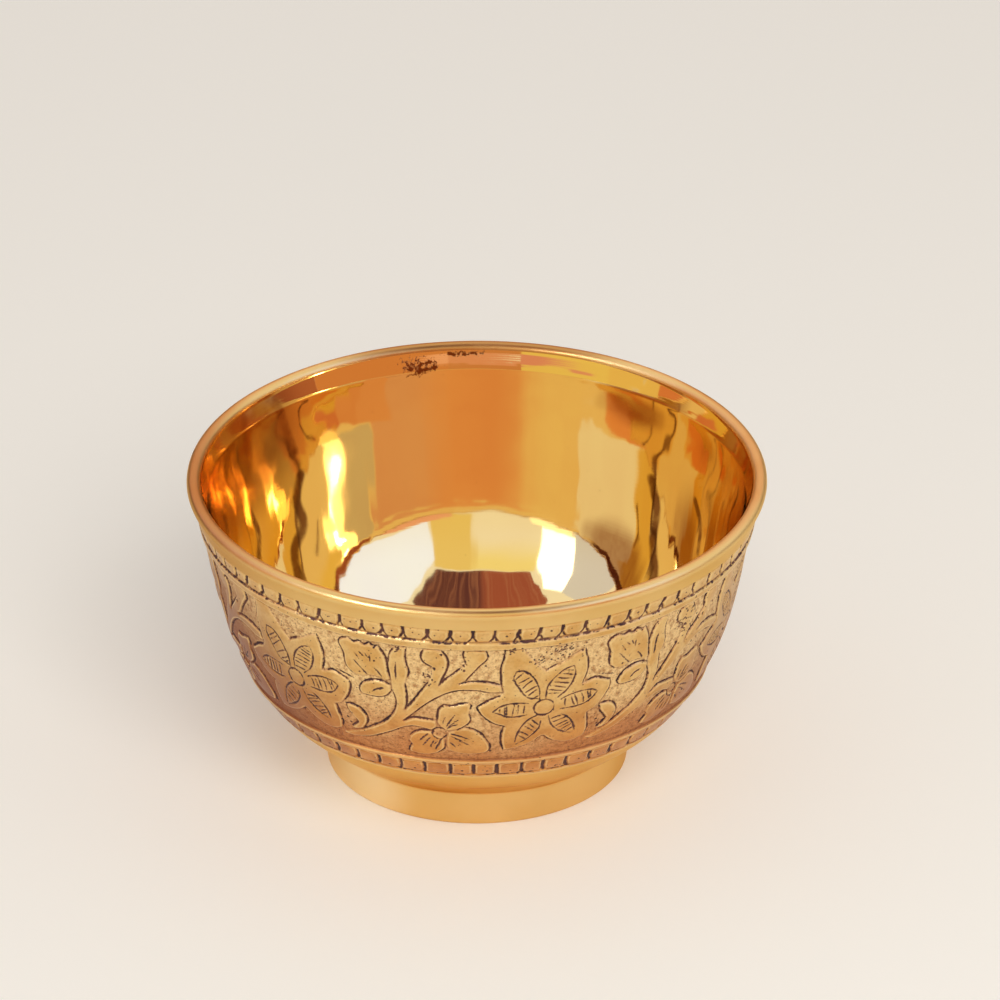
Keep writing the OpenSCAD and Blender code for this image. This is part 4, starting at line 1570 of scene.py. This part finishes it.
# Each shelf: its corners, its colour below a height in metres, and its colour above that
SHELVES = [
    ("front", [(-18, 1), (-18, 15.5), (0, 16.5), (12, 17.5), (12, 1)], "#d69463", "#e8a68a", 0.31),
    ("left", [(-18, 1), (-18, 17), (-36, 17.5), (-56, 18.8), (-56, 1)], "#f2da85", "#e6a092", 0.29),
    ("far_left", [(-56, 1), (-56, 18.8), (-68, 20), (-80, 21.3), (-80, 1)], "#f0d080", "#efbcae", 0.285),
    ("beside_left", [(-80, 1), (-80, 21.3), (-106, 24), (-106, 1)], "#e08c5a", "#f2c4bc", 0.26),
    ("right", [(12, 1), (12, 22), (26, 24), (42, 24), (70, 18.5), (70, 1)], "#dc945e", "#f8bca4", 0.3),
    ("beside_right", [(70, 1), (70, 11), (92, 8), (92, 1)], "#b87050", "#b87050", 0.2),
]
for side, corners, low_code, high_code, at_z in SHELVES:
    tree = hang(flat_screen(corners, SHELF_FAR), "shelf_" + side)
    share = add(tree, "ramp", add(tree, "axis", add(tree, "place")), at_z - SOFT_EDGE, at_z + SOFT_EDGE)
    cloth = add(tree, "mix", share, colour(low_code), colour(high_code))
    add(tree, "surface", add(tree, "glow", cloth, 1.0))
print("shelves:", len(SHELVES))

# %% [markdown]
# ## The lamp
# One large soft lamp stands over the camera, a little to the right, and casts the faint shadow. The
# polished metal doesn't show it, because the screens already stand for what is seen there.

# %% Set up the lamp
key = bpy.data.objects.new("key_lamp", bpy.data.lights.new("key_lamp", "AREA"))
key.data.size = 0.7
key.data.energy = 8
key.location = (0.26, -0.93, 0.87)
key.rotation_euler = (math.radians(48), 0, math.radians(15.6))
key.visible_glossy = False
bpy.context.scene.collection.objects.link(key)
print("lamp:", key.data.energy, "W,", round(key.data.size, 2), "m wide")

# %% [markdown]
# Over the camera is a dark, folded roof, which shows at the foot of the mirror. Its folds are noise
# that changes only across it. Below it hangs a pale board, a little yellower on its right and at its
# top, as the reflections are.

# %% Hang the roof and the board in front
FOLDS_PER_METRE = 45.0
roof_corners = [(28, 46.5), (-35, 46.5), (-64, 60), (-100, 76), (100, 76), (62, 62)]
tree = hang(flat_screen(roof_corners, 1.1), "dark_roof")
across = add(tree, "axis", add(tree, "place"), out="X")
folds = add(tree, "noise along", across, FOLDS_PER_METRE, 3.0)
cloth = add(tree, "mix", add(tree, "ramp", across, -0.1, 0.02), colour("#a45c4e"), colour("#643d42"))
cloth = layered(tree, cloth, [(folds, 0.5, 0.62, 0.6, "#b8806e")])
add(tree, "surface", add(tree, "glow", cloth, 1.0))

tree = hang(flat_screen([(24, 19), (-34, 19), (-38, 45), (28, 45)], 1.3), "board_in_front")
where = add(tree, "place")
high_up = add(tree, "ramp", add(tree, "axis", where), 0.6, 0.85)
cloth = add(tree, "mix", high_up, colour("#ffffff"), colour("#fff6b8"))
cloth = layered(tree, cloth, [(add(tree, "axis", where, out="X"), 0.0, 0.06, 1.0, "#f4e09a")])
add(tree, "surface", add(tree, "glow", cloth, 1.0))
print("roof corners:", len(roof_corners))

# %% [markdown]
# Behind the bowl a pale curtain hangs over a dark skirt, and the front of the inside wall shows them.
# Each is one upright edge that is spun part of the way round the bowl.


# %% Hang the curtain and its skirt
def curtain(from_up, to_up, right, turn, far):
    """A curtain at that distance, from one number of degrees up to another. It starts at a number of
    degrees to the right of the camera's side and goes round by turn degrees."""
    bm = bmesh.new()
    a = math.radians(right)
    low, high = [bm.verts.new((far * math.sin(a), -far * math.cos(a), far * math.tan(math.radians(up))))
                 for up in (from_up, to_up)]
    edge = bm.edges.new((low, high))
    bmesh.ops.spin(bm, geom=[low, high, edge], cent=(0, 0, 0), axis=(0, 0, 1), dvec=(0, 0, 0),
                   angle=math.radians(turn), steps=48, use_merge=False, use_duplicate=False)
    return bm


tree = hang(curtain(8, 42, 88, 186, 1.3), "curtain_round")
where = add(tree, "place")
across = add(tree, "ramp", add(tree, "axis", where, out="X"), -1.0, 0.6)
cloth = add(tree, "mix", across, colour("#efcddc"), colour("#fffefa"))
cloth = layered(tree, cloth, [(add(tree, "axis", where, out="Y"), 0.7, 1.28, 1.0, "#f5c4ba")])
add(tree, "surface", add(tree, "glow", cloth, 1.0))
tree = hang(curtain(-1, 14, 100, 160, 1.25), "skirt_round")
add(tree, "surface", add(tree, "glow", colour("#6a4f44"), 1.0))
bpy.context.scene.cycles.max_bounces = 16
bpy.context.scene.cycles.glossy_bounces = 12
